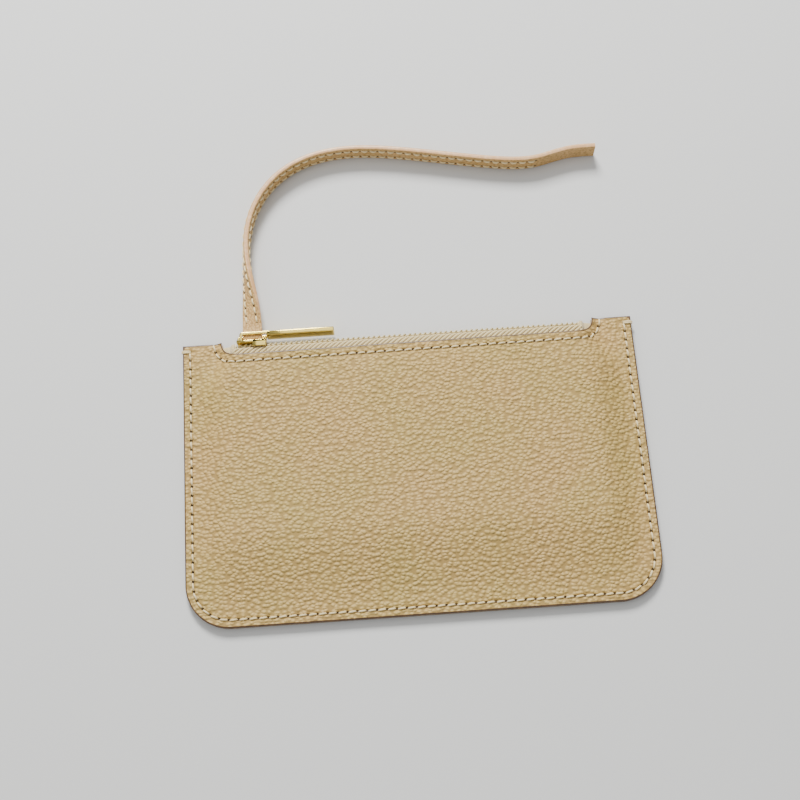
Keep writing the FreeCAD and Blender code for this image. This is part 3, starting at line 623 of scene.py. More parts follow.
@dataclass
class Outline:
    """The outline that the panels are cut to, in millimetres, and the seams that run inside it."""

    half: float = field(init=False)
    base: float = field(init=False)
    top: float = field(init=False)
    mouth_high: float = field(init=False)
    corner: float = 19.0
    cut_depth: float = 7.6
    cut_inset: float = 17.5
    seam_inset: float = 3.3
    zip_seam: float = 3.6
    pitch: float = 4.1
    tack_drop: float = 3.0
    rim: float = 3.26
    belly: float = 8.0
    rim_width: float = 5.0
    side_rise: float = 17.0
    bottom_rise: float = 36.0
    shoulder_drop: float = 9.5
    shoulder_rise: float = 10.0
    shoulder_reach: float = 16.0

    def __post_init__(self) -> None:
        """Read the outline's corners from the CAD panels."""
        low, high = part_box("front_panel")
        self.half, self.base, self.top = high.x / MM, low.y / MM, high.y / MM
        self.mouth_high = high.z / MM
        self.cut_flat = self.half - self.cut_inset - self.cut_depth
        self.cut_line = self.top - self.cut_depth
        side = self.top - self.tack_drop - self.base - self.corner
        turn = math.pi / 2 * (self.corner - self.seam_inset)
        self.rim_runs = (side, turn, 2 * (self.half - self.corner), turn, side)
        bend = math.pi / 2 * (self.cut_depth + self.zip_seam)
        self.zip_runs = (bend, 2 * self.cut_flat, bend)
        self.rim_pitch = sum(self.rim_runs) / round(sum(self.rim_runs) / self.pitch)
        self.zip_pitch = sum(self.zip_runs) / round(sum(self.zip_runs) / self.pitch)

    def ring(self, inset: float, step: float) -> list[tuple[float, float]]:
        """Return the outline, moved inwards, with as many points at every inset.

        Args:
            inset: millimetres inwards.
            step: millimetres between points on the outline itself.

        Returns:
            The points, counter-clockwise from the middle of the bottom.
        """
        half, corner, radius = self.half, self.corner, self.cut_depth + inset
        notch = self.cut_flat + math.sqrt(radius**2 - inset**2)
        first = math.asin(inset / radius)
        right = []

        def run(length: float, at: Callable[[float], tuple[float, float]]) -> None:
            """Add the points of one side or arc, but for its last."""
            count = max(2, round(length / step))
            right.extend(at(k / count) for k in range(count))

        def bend(
            x: float, y: float, size: float, start: float, end: float
        ) -> Callable[[float], tuple[float, float]]:
            """Return the way round an arc, from a share of it to a place."""

            def at(share: float) -> tuple[float, float]:
                """Return the place at a share of the arc."""
                turn = start + (end - start) * share
                return x + size * math.cos(turn), y + size * math.sin(turn)

            return at

        quarter = math.pi / 2
        run(half - corner, lambda t: ((half - corner) * t, self.base + inset))
        run(quarter * corner, bend(half - corner, self.base + corner, corner - inset, -quarter, 0.0))
        side = self.top - self.base - corner
        run(side, lambda t: (half - inset, self.base + corner + (side - inset) * t))
        run(self.cut_inset, lambda t: (half - inset + (notch - half + inset) * t, self.top - inset))
        run(quarter * self.cut_depth, bend(self.cut_flat, self.top, radius, -first, -quarter))
        run(self.cut_flat, lambda t: (self.cut_flat * (1 - t), self.cut_line - inset))
        right.append((0.0, self.cut_line - inset))
        return right + [(-x, y) for x, y in right[-2:0:-1]]

    def rim_place(self, x: float, y: float) -> tuple[float, float]:
        """Return how far along the rim seam a place is, and how far off its line, in millimetres."""
        side, turn = self.rim_runs[:2]
        cx, cy = self.half - self.corner, self.base + self.corner
        line = self.half - self.seam_inset
        if abs(x) > cx and y < cy:
            angle = math.atan2(cy - y, abs(x) - cx)
            off = self.corner - self.seam_inset - math.hypot(abs(x) - cx, cy - y)
            along = side + turn * angle / (math.pi / 2)
        elif line - abs(x) < y - self.base - self.seam_inset:
            along, off = self.top - self.tack_drop - y, line - abs(x)
            if y > self.top - self.tack_drop:
                off = math.hypot(off, y - self.top + self.tack_drop) * (1 if off >= 0 else -1)
        else:
            along, off = side + turn + (cx - abs(x)), y - self.base - self.seam_inset
        whole = sum(self.rim_runs)
        return (along if x < 0 else whole - along), off

    def zip_place(self, x: float, y: float) -> tuple[float, float]:
        """Return how far along the zip seam a place is, and how far off its line, in millimetres."""
        bend, flat = self.zip_runs[:2]
        radius = self.cut_depth + self.zip_seam
        if abs(x) > self.cut_flat:
            angle = math.atan2(self.top - y, abs(x) - self.cut_flat)
            off = math.hypot(abs(x) - self.cut_flat, self.top - y) - radius
            along = bend * angle / (math.pi / 2)
        else:
            along, off = bend + self.cut_flat - abs(x), self.top - radius - y
        whole = 2 * bend + flat
        return (along if x < 0 else whole - along), off

    def seam_at(self, x: float, y: float) -> tuple[float, float]:
        """Return a place's stitches along the nearest seam, and its metres off that seam's line."""
        rim, across_rim = self.rim_place(x, y)
        zip_along, across_zip = self.zip_place(x, y)
        if abs(across_rim) <= abs(across_zip):
            return rim / self.rim_pitch, across_rim * MM
        return zip_along / self.zip_pitch, across_zip * MM

    def front_height(self, x: float, y: float) -> float:
        """Return the height of the front's outer face, in millimetres."""
        from_side = self.half - self.rim_width - abs(x)
        from_bottom = y - self.base - self.rim_width
        left = self.cut_line - self.base - self.zip_seam - self.rim_width - self.bottom_rise
        swell = (self.belly - self.rim) * eased(from_bottom / self.bottom_rise)
        swell += (self.mouth_high - self.belly) * eased((from_bottom - self.bottom_rise) / left)
        shoulder = eased((y - self.cut_line + self.shoulder_reach) / self.shoulder_reach)
        start = self.shoulder_drop * shoulder
        rise = self.side_rise + (self.shoulder_rise - self.side_rise) * shoulder
        return self.rim + swell * eased((from_side - start) / rise)

    def on_rim(self, along: float) -> tuple[float, float, float]:
        """Return the place and heading at a distance along the rim seam."""
        side, turn = self.rim_runs[:2]
        radius, line = self.corner - self.seam_inset, self.half - self.seam_inset
        cx, cy = self.half - self.corner, self.base + self.corner
        whole = sum(self.rim_runs)
        mirrored = along > whole / 2
        here = whole - along if mirrored else along
        if here < side:
            x, y, heading = -line, self.top - self.tack_drop - here, -math.pi / 2
        elif here < side + turn:
            angle = (here - side) / radius
            x, y, heading = -cx - radius * math.cos(angle), cy - radius * math.sin(angle), angle - math.pi / 2
        else:
            x, y, heading = here - side - turn - cx, self.base + self.seam_inset, 0.0
        return (-x, y, -heading) if mirrored else (x, y, heading)

    def needled(self, shift: float) -> list[list[tuple[float, float, float]]]:
        """Return the places along the rim seam and the zip seam, one for each stitch.

        Args:
            shift: 0 for the needle holes, both ends included, or 0.5 for the stitches' middles.

        Returns:
            The rim seam's places and headings, then the zip seam's.
        """
        found = []
        for runs, pitch, on_seam in (
            (self.rim_runs, self.rim_pitch, self.on_rim),
            (self.zip_runs, self.zip_pitch, self.on_zip),
        ):
            count = round(sum(runs) / pitch) + (0 if shift else 1)
            found.append([on_seam((k + shift) * pitch) for k in range(count)])
        return found

    def on_zip(self, along: float) -> tuple[float, float, float]:
        """Return the place and heading at a distance along the zip seam."""
        bend = self.zip_runs[0]
        radius = self.cut_depth + self.zip_seam
        whole = sum(self.zip_runs)
        mirrored = along > whole / 2
        here = whole - along if mirrored else along
        if here < bend:
            angle = here / radius
            x, y = -self.cut_flat - radius * math.cos(angle), self.top - radius * math.sin(angle)
            heading = angle - math.pi / 2
        else:
            x, y, heading = here - bend - self.cut_flat, self.top - radius, 0.0
        return (-x, y, -heading) if mirrored else (x, y, heading)


# ---- panels and linings ----


@dataclass
class Panels:
    """The two leather panels and their linings, cut to one outline and sewn round the rim."""

    outline: Outline
    leather: float = 1.2
    lining: float = 0.4
    edge_round: float = 0.42
    paint_reach: float = 0.53
    channel: float = 0.3
    dip: float = 0.3
    ripple: float = 0.22
    step: float = 0.9
    cell: float = 1.8
    inner_step: float = 5.0
    cloth_inset: float = 0.25
    cloth_step: float = 2.0
    cloth_cell: float = 4.0
    cloth_gap: float = 0.04
    cloth_share: float = 0.8
    inner_rings: tuple[float, ...] = (1.5, 4.0, 7.4)
    outer_rings: tuple[float, ...] = (0.6, 0.9, 1.4, 2.0, 2.5, 2.9, 3.25, 3.6, 4.0, 4.5, 5.2, 6.2, 7.4)
    merged: float = 0.02
    seam_width: float = 0.8
    seam_reach: float = 2.4
    pucker: float = 0.09
    hole_width: float = 0.7
    wave: tuple[float, float] = (34.0, 27.0)
    open_reach: float = 61.0
    open_ramp: float = 46.0
    open_climb: float = 45.0

    def mouth_share(self, x: float, y: float) -> float:
        """Return how much of the front's opening a place follows: none where it is sewn, all mid-mouth."""
        from_side = (self.open_reach - abs(x)) / self.open_ramp
        return eased(from_side) * eased((y - self.outline.base - self.outline.rim_width) / self.open_climb)

    def follow_mouth(self, piece: bpy.types.Object) -> None:
        """Let a front piece bend from its sewn sides to the middle of the mouth."""
        low, high = self.outline.base * MM, self.outline.top * MM
        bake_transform(piece, "pouch_back", "pouch_front", start=(0, low, 0), end=(0, high, 0))
        shares = [self.mouth_share(vert.co.x / MM, vert.co.y / MM) for vert in piece.data.vertices]
        piece.data.attributes["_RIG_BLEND"].data.foreach_set("value", shares)

    def relief(self, x: float, y: float, holes: kdtree.KDTree) -> float:
        """Return how far the leather's face stands proud at a place: sunk seams, puckers, slow waves."""
        stitches, off = self.outline.seam_at(x, y)
        off /= MM
        line = math.exp(-((off / self.seam_width) ** 2))
        wide = math.exp(-((off / self.seam_reach) ** 2))
        puff = -self.pucker * wide * math.cos(2 * math.pi * stitches)
        near = holes.find((x, y, 0.0))[2]
        sunk = self.channel * line + self.dip * math.exp(-((near / self.hole_width) ** 2))
        wave = noise.noise(Vector((x / self.wave[0], y / self.wave[1], 4.7))) * self.ripple
        return puff - sunk + wave * eased(abs(off) / self.outline.rim_width)

    def sheet(
        self,
        bm: bmesh.types.BMesh,
        rings: Sequence[tuple[float, float]],
        step: float,
        cell: float,
        height: Callable[[float, float], float],
    ) -> None:
        """Add a sheet over the outline: rings that follow its edge, then a grid inside.

        Args:
            bm: takes the sheet.
            rings: inset, and drop below the sheet's height, of each ring, in millimetres.
            step: millimetres between a ring's points.
            cell: millimetres between the grid's lines.
            height: the sheet's height over a place, in millimetres.
        """
        place = bm.verts.layers.int.new("place")
        drop = bm.verts.layers.float.new("drop")
        before = set(bm.verts)
        first = self.outline.ring(rings[0][0], step)
        start = [bm.verts.new((x, y, 0.0)) for x, y in first]
        for k, vert in enumerate(start):
            vert[place], vert[drop] = k, rings[0][1]
        edges = [bm.edges.new((a, b)) for a, b in zip(start, start[1:] + start[:1])]
        for inset, down in rings[1:]:
            grown = bmesh.ops.extrude_edge_only(bm, edges=edges)["geom"]
            edges = [item for item in grown if isinstance(item, bmesh.types.BMEdge)]
            spots = self.outline.ring(inset, step)
            for vert in (item for item in grown if isinstance(item, bmesh.types.BMVert)):
                vert.co.x, vert.co.y = spots[vert[place]]
                vert[drop] = down
        middle = bmesh.ops.contextual_create(bm, geom=edges)["faces"]
        inset = rings[-1][0]
        for axis, low, high in (
            (0, -self.outline.half + inset, self.outline.half - inset),
            (1, self.outline.base + inset, self.outline.top - inset),
        ):
            count = round((high - low) / cell)
            for k in range(1, count):
                at, across = Vector((0, 0, 0)), Vector((0, 0, 0))
                at[axis] = low + (high - low) * k / count
                across[axis] = 1.0
                corners = {vert for face in middle for vert in face.verts}
                sides = {edge for face in middle for edge in face.edges}
                geom = [*middle, *sides, *corners]
                cut = bmesh.ops.bisect_plane(bm, geom=geom, dist=0.12, plane_co=at, plane_no=across)["geom"]
                middle = [item for item in cut if isinstance(item, bmesh.types.BMFace)]
        for vert in bm.verts:
            if vert not in before:
                x, y = vert.co.x, vert.co.y
                vert.co.z = height(x, y) - vert[drop]
        bm.verts.layers.int.remove(bm.verts.layers.int["place"])
        bm.verts.layers.float.remove(bm.verts.layers.float["drop"])

    def edge_rings(self, wall: float) -> list[tuple[float, float]]:
        """Return the rings of a face with a round edge: up the cut wall, over it, then across both seams."""
        rings = [(0.0, wall), (0.0, (wall + self.edge_round) / 2)]
        for k in range(5):
            turn = math.pi / 2 * k / 4
            rings.append((self.edge_round * (1 - math.cos(turn)), self.edge_round * (1 - math.sin(turn))))
        return rings + [(inset, 0.0) for inset in self.outer_rings]

    def hole_tree(self) -> kdtree.KDTree:
        """Return the needle holes of both seams."""
        rim, mouth = self.outline.needled(0.0)
        tree = kdtree.KDTree(len(rim) + len(mouth))
        for k, (x, y, _) in enumerate(rim + mouth):
            tree.insert((x, y, 0.0), k)
        tree.balance()
        return tree

    def panel(self, name: str, outer: Callable[[float, float], float], side: int) -> bpy.types.Object:
        """Make one leather panel.

        Args:
            name: the CAD node that it stands for.
            outer: the height of its outer face over a place, in millimetres.
            side: 1 where the outer face looks up, -1 where it looks down.

        Returns:
            The panel.
        """
        holes = self.hole_tree()
        bm = bmesh.new()
        rings = [(inset, side * down) for inset, down in self.edge_rings(self.leather)]

        def grained(x: float, y: float) -> float:
            """Return the height of the face that shows, seams and waves included."""
            return outer(x, y) + side * self.relief(x, y, holes)

        self.sheet(bm, rings, self.step, self.cell, grained)
        grain = len(bm.faces)
        inner = [(inset, 0.0) for inset in (0.0, *self.inner_rings)]
        self.sheet(bm, inner, self.step, self.inner_step, lambda x, y: outer(x, y) - side * self.leather)
        bm.faces.ensure_lookup_table()
        for face in bm.faces[grain:]:
            face.material_index = 2
        for face in bm.faces[:grain]:
            x, y, _ = face.calc_center_median()
            rim = min(self.rim_gap(x, y), self.outline.zip_place(x, y)[1] + self.outline.zip_seam)
            face.material_index = 1 if rim < self.paint_reach else 0
        bmesh.ops.remove_doubles(bm, verts=bm.verts, dist=self.merged)
        rest, seam = coordinates(bm), coordinates(bm, SEAM)
        for vert in bm.verts:
            vert[rest] = (vert.co.x * MM, vert.co.y * MM, 0.0)
            vert[seam] = (*self.outline.seam_at(vert.co.x, vert.co.y), 0.0)
        bmesh.ops.recalc_face_normals(bm, faces=bm.faces)
        bmesh.ops.scale(bm, vec=(MM, MM, MM), verts=bm.verts)
        return finished(bm, name, [LEATHER, PANEL_EDGE, SUEDE], smooth=60)

    def rim_gap(self, x: float, y: float) -> float:
        """Return how far a place is inside the panel's outer edge and its top edge."""
        return min(self.outline.rim_place(x, y)[1] + self.outline.seam_inset, self.outline.top - y)

    def cloth(self, name: str, face: Callable[[float, float], float], side: int) -> bpy.types.Object:
        """Make one lining: a thin woven sheet under a panel, just inside its edge."""
        bm = bmesh.new()
        rings = [(inset, 0.0) for inset in (self.cloth_inset, *self.inner_rings)]
        for drop in (0.0, side * self.lining * self.cloth_share):
            self.sheet(bm, rings, self.cloth_step, self.cloth_cell, lambda x, y: face(x, y) - drop)
        loose = [item for item in bm.edges if item.is_boundary]
        bmesh.ops.bridge_loops(bm, edges=loose)
        rest = coordinates(bm)
        for vert in bm.verts:
            vert[rest] = (vert.co.x * MM, vert.co.y * MM, 0.0)
        bmesh.ops.recalc_face_normals(bm, faces=bm.faces)
        bmesh.ops.scale(bm, vec=(MM, MM, MM), verts=bm.verts)
        return finished(bm, name, [LINING])

    def build(self) -> None:
        """Make the panels and their linings."""
        height = self.outline.front_height
        front = self.panel("front_panel", height, 1)
        self.follow_mouth(front)
        back = self.panel("back_panel", lambda x, y: 0.0, -1)
        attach(back, "pouch_back")
        lining = self.cloth("front_lining", lambda x, y: height(x, y) - self.leather - self.cloth_gap, 1)
        self.follow_mouth(lining)
        lower = self.cloth("back_lining", lambda x, y: self.leather + self.cloth_gap, -1)
        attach(lower, "pouch_back")


# ---- stitches ----


@dataclass
class Stitching:
    """The seams' visible thread: one short twisted length from hole to hole."""

    panels: Panels
    thread: float = 0.8
    length: float = 2.7
    proud: float = 0.4
    slant: float = 6.0  # degrees off the seam's line
    sunk: float = 0.14
    sides: int = 6
    arch: tuple[tuple[float, float], ...] = (
        (-0.5, -1.5), (-0.46, -0.2), (-0.3, 0.75), (0.0, 1.0), (0.3, 0.75), (0.46, -0.2), (0.5, -1.5),
    )

    def stitch(self, bm: bmesh.types.BMesh, middle: Vector, along: Vector, up: Vector, length: float) -> None:
        """Add one stitch, arched over the leather, its ends down in their holes."""
        points = [middle + along * length * share + up * self.proud * rise * MM for share, rise in self.arch]
        sweep(bm, circle(self.thread / 2 * MM, self.sides), frames_along(points, along.cross(up)))

    def seam(
        self, name: str, spots: Sequence[tuple[float, float, float]], side: int, tacks: bool
    ) -> bpy.types.Object:
        """Make one seam's visible thread.

        Args:
            name: the CAD node that it stands for.
            spots: each stitch's middle and heading, in millimetres and radians.
            side: 1 on the front, -1 on the back.
            tacks: whether a stitch also closes each top corner.

        Returns:
            The thread.
        """
        line = self.panels.outline
        bm = bmesh.new()
        ends = []
        if tacks:
            y = line.top - line.tack_drop
            middle_x = line.half - line.seam_inset / 2 + 0.1
            ends = [(x * middle_x, y + lift, 0.0) for x in (-1, 1) for lift in (-0.32, 0.32)]
        for k, (x, y, heading) in enumerate([*spots, *ends]):
            tack = k >= len(spots)
            turned = heading + (0.0 if tack else math.radians(self.slant))
            along = Vector((math.cos(turned), math.sin(turned), 0.0))
            z, up = 0.0, Vector((0, 0, side))
            if side > 0:
                z, up = self.face(x, y), self.normal(x, y)
                along = (along - up * along.dot(up)).normalized()
            sunk = 0.0 if tack else self.sunk
            middle = (Vector((x, y, z)) - up * sunk) * MM
            length = (line.seam_inset + 0.4 if tack else self.length) * MM
            self.stitch(bm, middle, along, up, length)
        return finished(bm, name, [THREAD])

    def face(self, x: float, y: float) -> float:
        """Return the front's height over a place, in millimetres."""
        return self.panels.outline.front_height(x, y)

    def normal(self, x: float, y: float, reach: float = 1.2) -> Vector:
        """Return the direction that the front faces at a place, from heights a reach to each side."""
        slope_x = (self.face(x + reach, y) - self.face(x - reach, y)) / (2 * reach)
        slope_y = (self.face(x, y + reach) - self.face(x, y - reach)) / (2 * reach)
        return Vector((-slope_x, -slope_y, 1.0)).normalized()

    def build(self) -> None:
        """Sew the rim seam and the zip seam, as seen on each side."""
        rim, mouth = self.panels.outline.needled(0.5)
        self.panels.follow_mouth(self.seam("seam_thread_front", rim, 1, True))
        self.panels.follow_mouth(self.seam("zip_thread_front", mouth, 1, False))
        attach(self.seam("seam_thread_back", rim, -1, False), "pouch_back")
        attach(self.seam("zip_thread_back", mouth, -1, False), "pouch_back")


# ---- the zip ----


@dataclass
class Zip:
    """The reversed coil zip: folded ribbed tapes, two coils, folded tape ends and the end stops."""

    panels: Panels
    rib_pitch: float = 2.28
    rib_height: float = 0.62
    rib_slope: float = 0.78
    tape: float = 0.5
    tape_share: float = 0.8
    fold_bend: float = 0.85
    grid: tuple[float, float] = (0.38, 0.42)
    wire: float = 0.74
    hook: float = 0.12
    core: float = 0.36
    sides: int = 7
    turn_steps: int = 14
    end_gap: float = 0.15

    def __post_init__(self) -> None:
        """Read the zip's lines from the CAD pieces."""
        low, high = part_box("zip_tape_back")
        self.reach = high.x / MM
        self.hidden = low.y / MM
        self.fold = high.y / MM
        self.tape_low = low.z / MM
        front_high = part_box("zip_tape_front")[1]
        self.front_reach, self.tape_high = front_high.x / MM, front_high.z / MM
        coil_low, coil_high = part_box("coil_back")
        self.chain_top, self.chain_low = coil_high.y / MM, coil_low.z / MM
        self.chain_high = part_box("coil_front")[1].z / MM
        self.middle = (self.chain_low + self.chain_high) / 2
        self.cut_line = self.panels.outline.cut_line

    def ribbon(self, bm: bmesh.types.BMesh, low: float, high: float, face: float, side: int) -> None:
        """Add a ribbed tape, flat under its panel and turned down over the fold.

        Args:
            bm: takes the tape.
            low: where it starts along the zip, in millimetres.
            high: where it ends.
            face: the height of its outer face.
            side: 1 for the front tape, -1 for the back one.
        """
        rest = coordinates(bm)
        before = set(bm.verts)
        across = (self.fold - self.hidden) + (self.chain_high - self.chain_low) / 2 - 0.7
        columns, rows = round((high - low) / self.grid[0]), round(across / self.grid[1])
        grid = bmesh.ops.create_grid(bm, x_segments=columns, y_segments=rows, size=1.0)["verts"]
        bend = self.fold_bend
        for vert in grid:
            x = low + (high - low) * (vert.co.x + 1) / 2
            gone = across * (vert.co.y + 1) / 2
            flat = self.fold - bend - self.hidden
            turn = min(max((gone - flat) / bend, 0.0), math.pi / 2)
            past = max(gone - flat - bend * math.pi / 2, 0.0)
            y = self.hidden + min(gone, flat) + bend * math.sin(turn)
            down = bend * (1 - math.cos(turn)) + past
            shown = eased((gone - (self.cut_line - 1.5 - self.hidden)) / 1.2)
            phase = (x - (self.hidden + gone) / self.rib_slope) / self.rib_pitch
            out_y, out_z = math.sin(turn), math.cos(turn)
            lift = self.rib_height * (abs(math.cos(math.pi * phase)) - 0.6) * shown * (1.0 - 0.7 * out_y)
            vert.co = Vector((x, y + lift * out_y, face - side * (down - lift * out_z))) * MM
            vert[rest] = (x * MM, (self.hidden + gone) * MM, 0.0)
        faces = [item for item in bm.faces if all(vert not in before for vert in item.verts)]
        bmesh.ops.recalc_face_normals(bm, faces=faces)
        outward = sum(item.normal.z * item.calc_area() for item in faces)
        if outward * side < 0:
            bmesh.ops.reverse_faces(bm, faces=faces)
        bmesh.ops.solidify(bm, geom=faces, thickness=self.tape * self.tape_share * MM)

    def coil(self, bm: bmesh.types.BMesh, low: float, high: float, side: int) -> None:
        """Add one half of the coil: a flattened helix that hooks past the middle, and its core cord."""
        wire = self.wire / 2
        far = self.chain_high if side > 0 else self.chain_low
        near = self.middle - side * self.hook
        centre_z, half_z = (far + near) / 2, abs(far - near) / 2 - wire
        centre_y = (self.fold + self.chain_top) / 2 + 0.05
        half_y = (self.chain_top - self.fold) / 2 - wire * 0.6
        turns = int((high - low - self.wire) / self.rib_pitch)
        ring = bmesh.ops.create_circle(bm, segments=self.sides, radius=wire)["verts"]
        bmesh.ops.translate(bm, vec=(0, half_z, 0), verts=ring)
        edges = list({edge for vert in ring for edge in vert.link_edges})
        before = set(bm.verts) - set(ring)
        steps = turns * self.turn_steps
        bmesh.ops.spin(
            bm, geom=ring + edges, cent=(0, 0, 0), axis=(1, 0, 0),
            dvec=(self.rib_pitch / self.turn_steps, 0, 0), angle=2 * math.pi * turns, steps=steps,
        )
        made = [vert for vert in bm.verts if vert not in before]
        start = low + wire + (self.rib_pitch / 2 if side > 0 else 0.0)
        for vert in made:
            x, up, aside = vert.co
            vert.co = Vector((x + start, centre_y + aside * half_y / half_z, centre_z + up))
        line = [Vector((low + 0.3 + (high - low - 0.6) * k / 8, centre_y, centre_z)) for k in range(9)]
        sweep(bm, circle(self.core, 8), frames_along(line, Vector((0, 0, 1))))

    def coil_piece(self, name: str, runs: Iterable[tuple[float, float]], side: int) -> bpy.types.Object:
        """Make a coil piece from its runs along the zip."""
        bm = bmesh.new()
        for low, high in runs:
            self.coil(bm, low, high, side)
        bmesh.ops.recalc_face_normals(bm, faces=bm.faces)
        bmesh.ops.scale(bm, vec=(MM, MM, MM), verts=bm.verts)
        return finished(bm, name, [COIL])

    def tape_end(self, name: str, side: int) -> bpy.types.Object:
        """Make a folded tape end: the front tape's last length, then the tuck between the panels."""
        low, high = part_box(name)
        near, far = sorted((abs(low.x), abs(high.x)))
        near, far, bottom, top = near / MM, far / MM, low.z / MM, high.z / MM
        bm = bmesh.new()
        strip = (near, self.reach) if side > 0 else (-self.reach, -near)
        self.ribbon(bm, *strip, top, 1)
        route = (
            (self.reach - 0.9, top - 0.3), (self.reach + 0.3, top - 0.5), (self.reach + 0.7, bottom + 3.4),
            (self.reach + 1.2, bottom + 2.4), (self.reach + 2.4, bottom + 2.0), (far - 3.0, bottom + 1.6),
            (far - 1.9, bottom + 1.2), (far - 1.4, bottom + 0.75), (far - 1.9, bottom + 0.3),
            (self.reach + 1.2, bottom + 0.3),
        )
        middle_y = self.fold - 0.7
        points = smooth_line(f"{name}_fold", [Vector((side * x, middle_y, z)) * MM for x, z in route], 5)
        section = rounded_section(5.0 * MM, 0.55 * MM, 0.2 * MM, 2)
        ribbed = len(bm.faces)
        sweep(bm, section, frames_along(points, Vector((0, 1, 0))))
        bm.faces.ensure_lookup_table()
        for face in bm.faces[ribbed:]:
            face.material_index = 1
        return finished(bm, name, [TAPE, PLAIN_TAPE])

    def stop(self, name: str) -> bpy.types.Object:
        """Make an end stop: a moulded clip with three rounded ridges."""
        low, high = (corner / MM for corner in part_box(name))
        bm = bmesh.new()
        rounded_block(bm, low + Vector((0.1, 0.05, 0.1)), high - Vector((0.1, 0.35, 0.1)), 0.3)
        third = (high.z - low.z) / 3
        for k in range(3):
            start = Vector((low.x, low.y + 0.5, low.z + third * k + 0.12))
            rounded_block(bm, start, Vector((high.x, high.y, low.z + third * (k + 1) - 0.12)), 0.32)
        bmesh.ops.scale(bm, vec=(MM, MM, MM), verts=bm.verts)
        return finished(bm, name, [COIL])

    def build(self) -> None:
        """Make the tapes, coils, tape ends and stops."""
        for name, reach, face, side in (
            ("zip_tape_back", self.reach, self.tape_low, -1),
            ("zip_tape_front", self.front_reach, self.tape_high, 1),
        ):
            bm = bmesh.new()
            self.ribbon(bm, -reach, reach, face, side)
            tape = finished(bm, name, [TAPE], smooth=70)
            if side > 0:
                self.panels.follow_mouth(tape)
            else:
                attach(tape, "pouch_back")
        low, high = (corner.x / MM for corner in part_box("coil_back"))
        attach(self.coil_piece("coil_back", [(low, high)], -1), "pouch_back")
        self.panels.follow_mouth(self.coil_piece("coil_front", [(-self.front_reach, self.front_reach)], 1))
        ends = [(low, -self.front_reach - self.end_gap), (self.front_reach + self.end_gap, high)]
        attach(self.coil_piece("coil_ends", ends, 1), "pouch_back")
        for name, side in (("zip_end_left", -1), ("zip_end_right", 1)):
            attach(self.tape_end(name, side), "pouch_back")
        for name in ("top_stop", "bottom_stop"):
            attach(self.stop(name), "pouch_back")


# ---- the slider and its pull ----


@dataclass
class Slider:
    """The plated slider: two plates, flanges beside the tapes, a post and the bridge."""

    plate: float = 1.1
    flange: float = 0.75
    flange_run: float = 6.0
    post: float = 0.4
    post_run: float = 2.5
    bridge_width: float = 1.4
    bridge_band: float = 1.2
    leg: float = 1.1
    bridge_rise: float = 2.922
    plate_clear: float = 0.15
    inner_half: float = 2.0
    softness: float = 0.22

    def build(self) -> None:
        """Make the slider from rounded plates and a bent bridge."""
        low, high = (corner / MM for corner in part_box("slider_body"))
        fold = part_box("zip_tape_front")[1].y / MM
        middle = (low.z + high.z) / 2
        top = high.y - self.bridge_rise
        inner_high = fold - 0.5 - self.plate_clear
        tail, wide = high.x - self.flange_run, self.inner_half
        bm = bmesh.new()
        plates = (
            ((low.x, top - self.plate, low.z), (high.x, top, high.z)),
            ((tail, fold, high.z - self.flange), (high.x, top, high.z)),
            ((tail, fold, low.z), (high.x, top, low.z + self.flange)),
            ((low.x, inner_high - self.plate, middle - wide), (high.x, inner_high, middle + wide)),
        )
        for corner, other in plates:
            rounded_block(bm, corner, other, self.softness)
        post = (low.x + 0.4, inner_high - self.plate + 0.1, middle - self.post / 2)
        rounded_block(bm, post, (post[0] + self.post_run, top - 0.1, middle + self.post / 2), 0.12)
        crown, inside = high.y - self.bridge_band / 2, self.leg / 2
        route = (
            (low.x + inside, top - 0.6), (low.x + inside, top + 1.0), (low.x + inside, crown - 0.25),
            (low.x + inside + 0.35, crown), (low.x + inside + 1.8, crown), (low.x + 6.5, crown),
            (high.x - inside - 1.8, crown), (high.x - inside - 0.35, crown), (high.x - inside, crown - 0.25),
            (high.x - inside, top + 1.0), (high.x - inside, top - 0.6),
        )
        points = smooth_line("bridge_line", [Vector((x, y, middle)) for x, y in route], 6)
        section = rounded_section(self.bridge_width, self.bridge_band, 0.3)
        sweep(bm, section, frames_along(points, Vector((0, 0, 1))))
        bmesh.ops.scale(bm, vec=(MM, MM, MM), verts=bm.verts)
        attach(finished(bm, "slider_body", [BRASS], smooth=30), "slider")


@dataclass
class Pull:
    """The bar pull: a polished bar, two arms round the strap, and the pin under the bridge."""

    bar: float = 30.0
    thickness: float = 2.1
    band: float = 1.3
    cheek: float = 0.8
    pin: float = 0.6
    chamfer: float = 0.38

    def build(self) -> None:
        """Make the pull from a chamfered bar and two bent arms."""
        low, high = (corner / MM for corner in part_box("pull_tab"))
        start, middle = high.x - self.bar, (low.z + high.z) / 2
        bm = bmesh.new()
        rounded_block(bm, (start, high.y - self.thickness, low.z), (high.x, high.y, high.z), self.chamfer)
        top, pin_x, pin_y = high.y - self.band / 2, low.x + self.band / 2, low.y + self.pin
        route = (
            (start + 1.5, top), (start - 1.0, top), (start - 5.0, top), (pin_x + 2.2, top),
            (pin_x + 0.5, top - 0.05), (pin_x, top - 0.55), (pin_x, top - 1.6), (pin_x, pin_y),
            (pin_x, pin_y - 0.5),
        )
        for z in (low.z + self.cheek / 2, high.z - self.cheek / 2):
            points = smooth_line("arm_line", [Vector((x, y, z)) for x, y in route], 6)
            section = rounded_section(self.cheek, self.band, 0.25)
            sweep(bm, section, frames_along(points, Vector((0, 0, 1))))
        line = [Vector((pin_x, pin_y, z)) for z in (low.z + 0.1, middle, high.z - 0.1)]
        sweep(bm, circle(self.pin, 20), frames_along(line, Vector((1, 0, 0))))
        bmesh.ops.scale(bm, vec=(MM, MM, MM), verts=bm.verts)
        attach(finished(bm, "pull_tab", [BRASS], smooth=30), "pull")


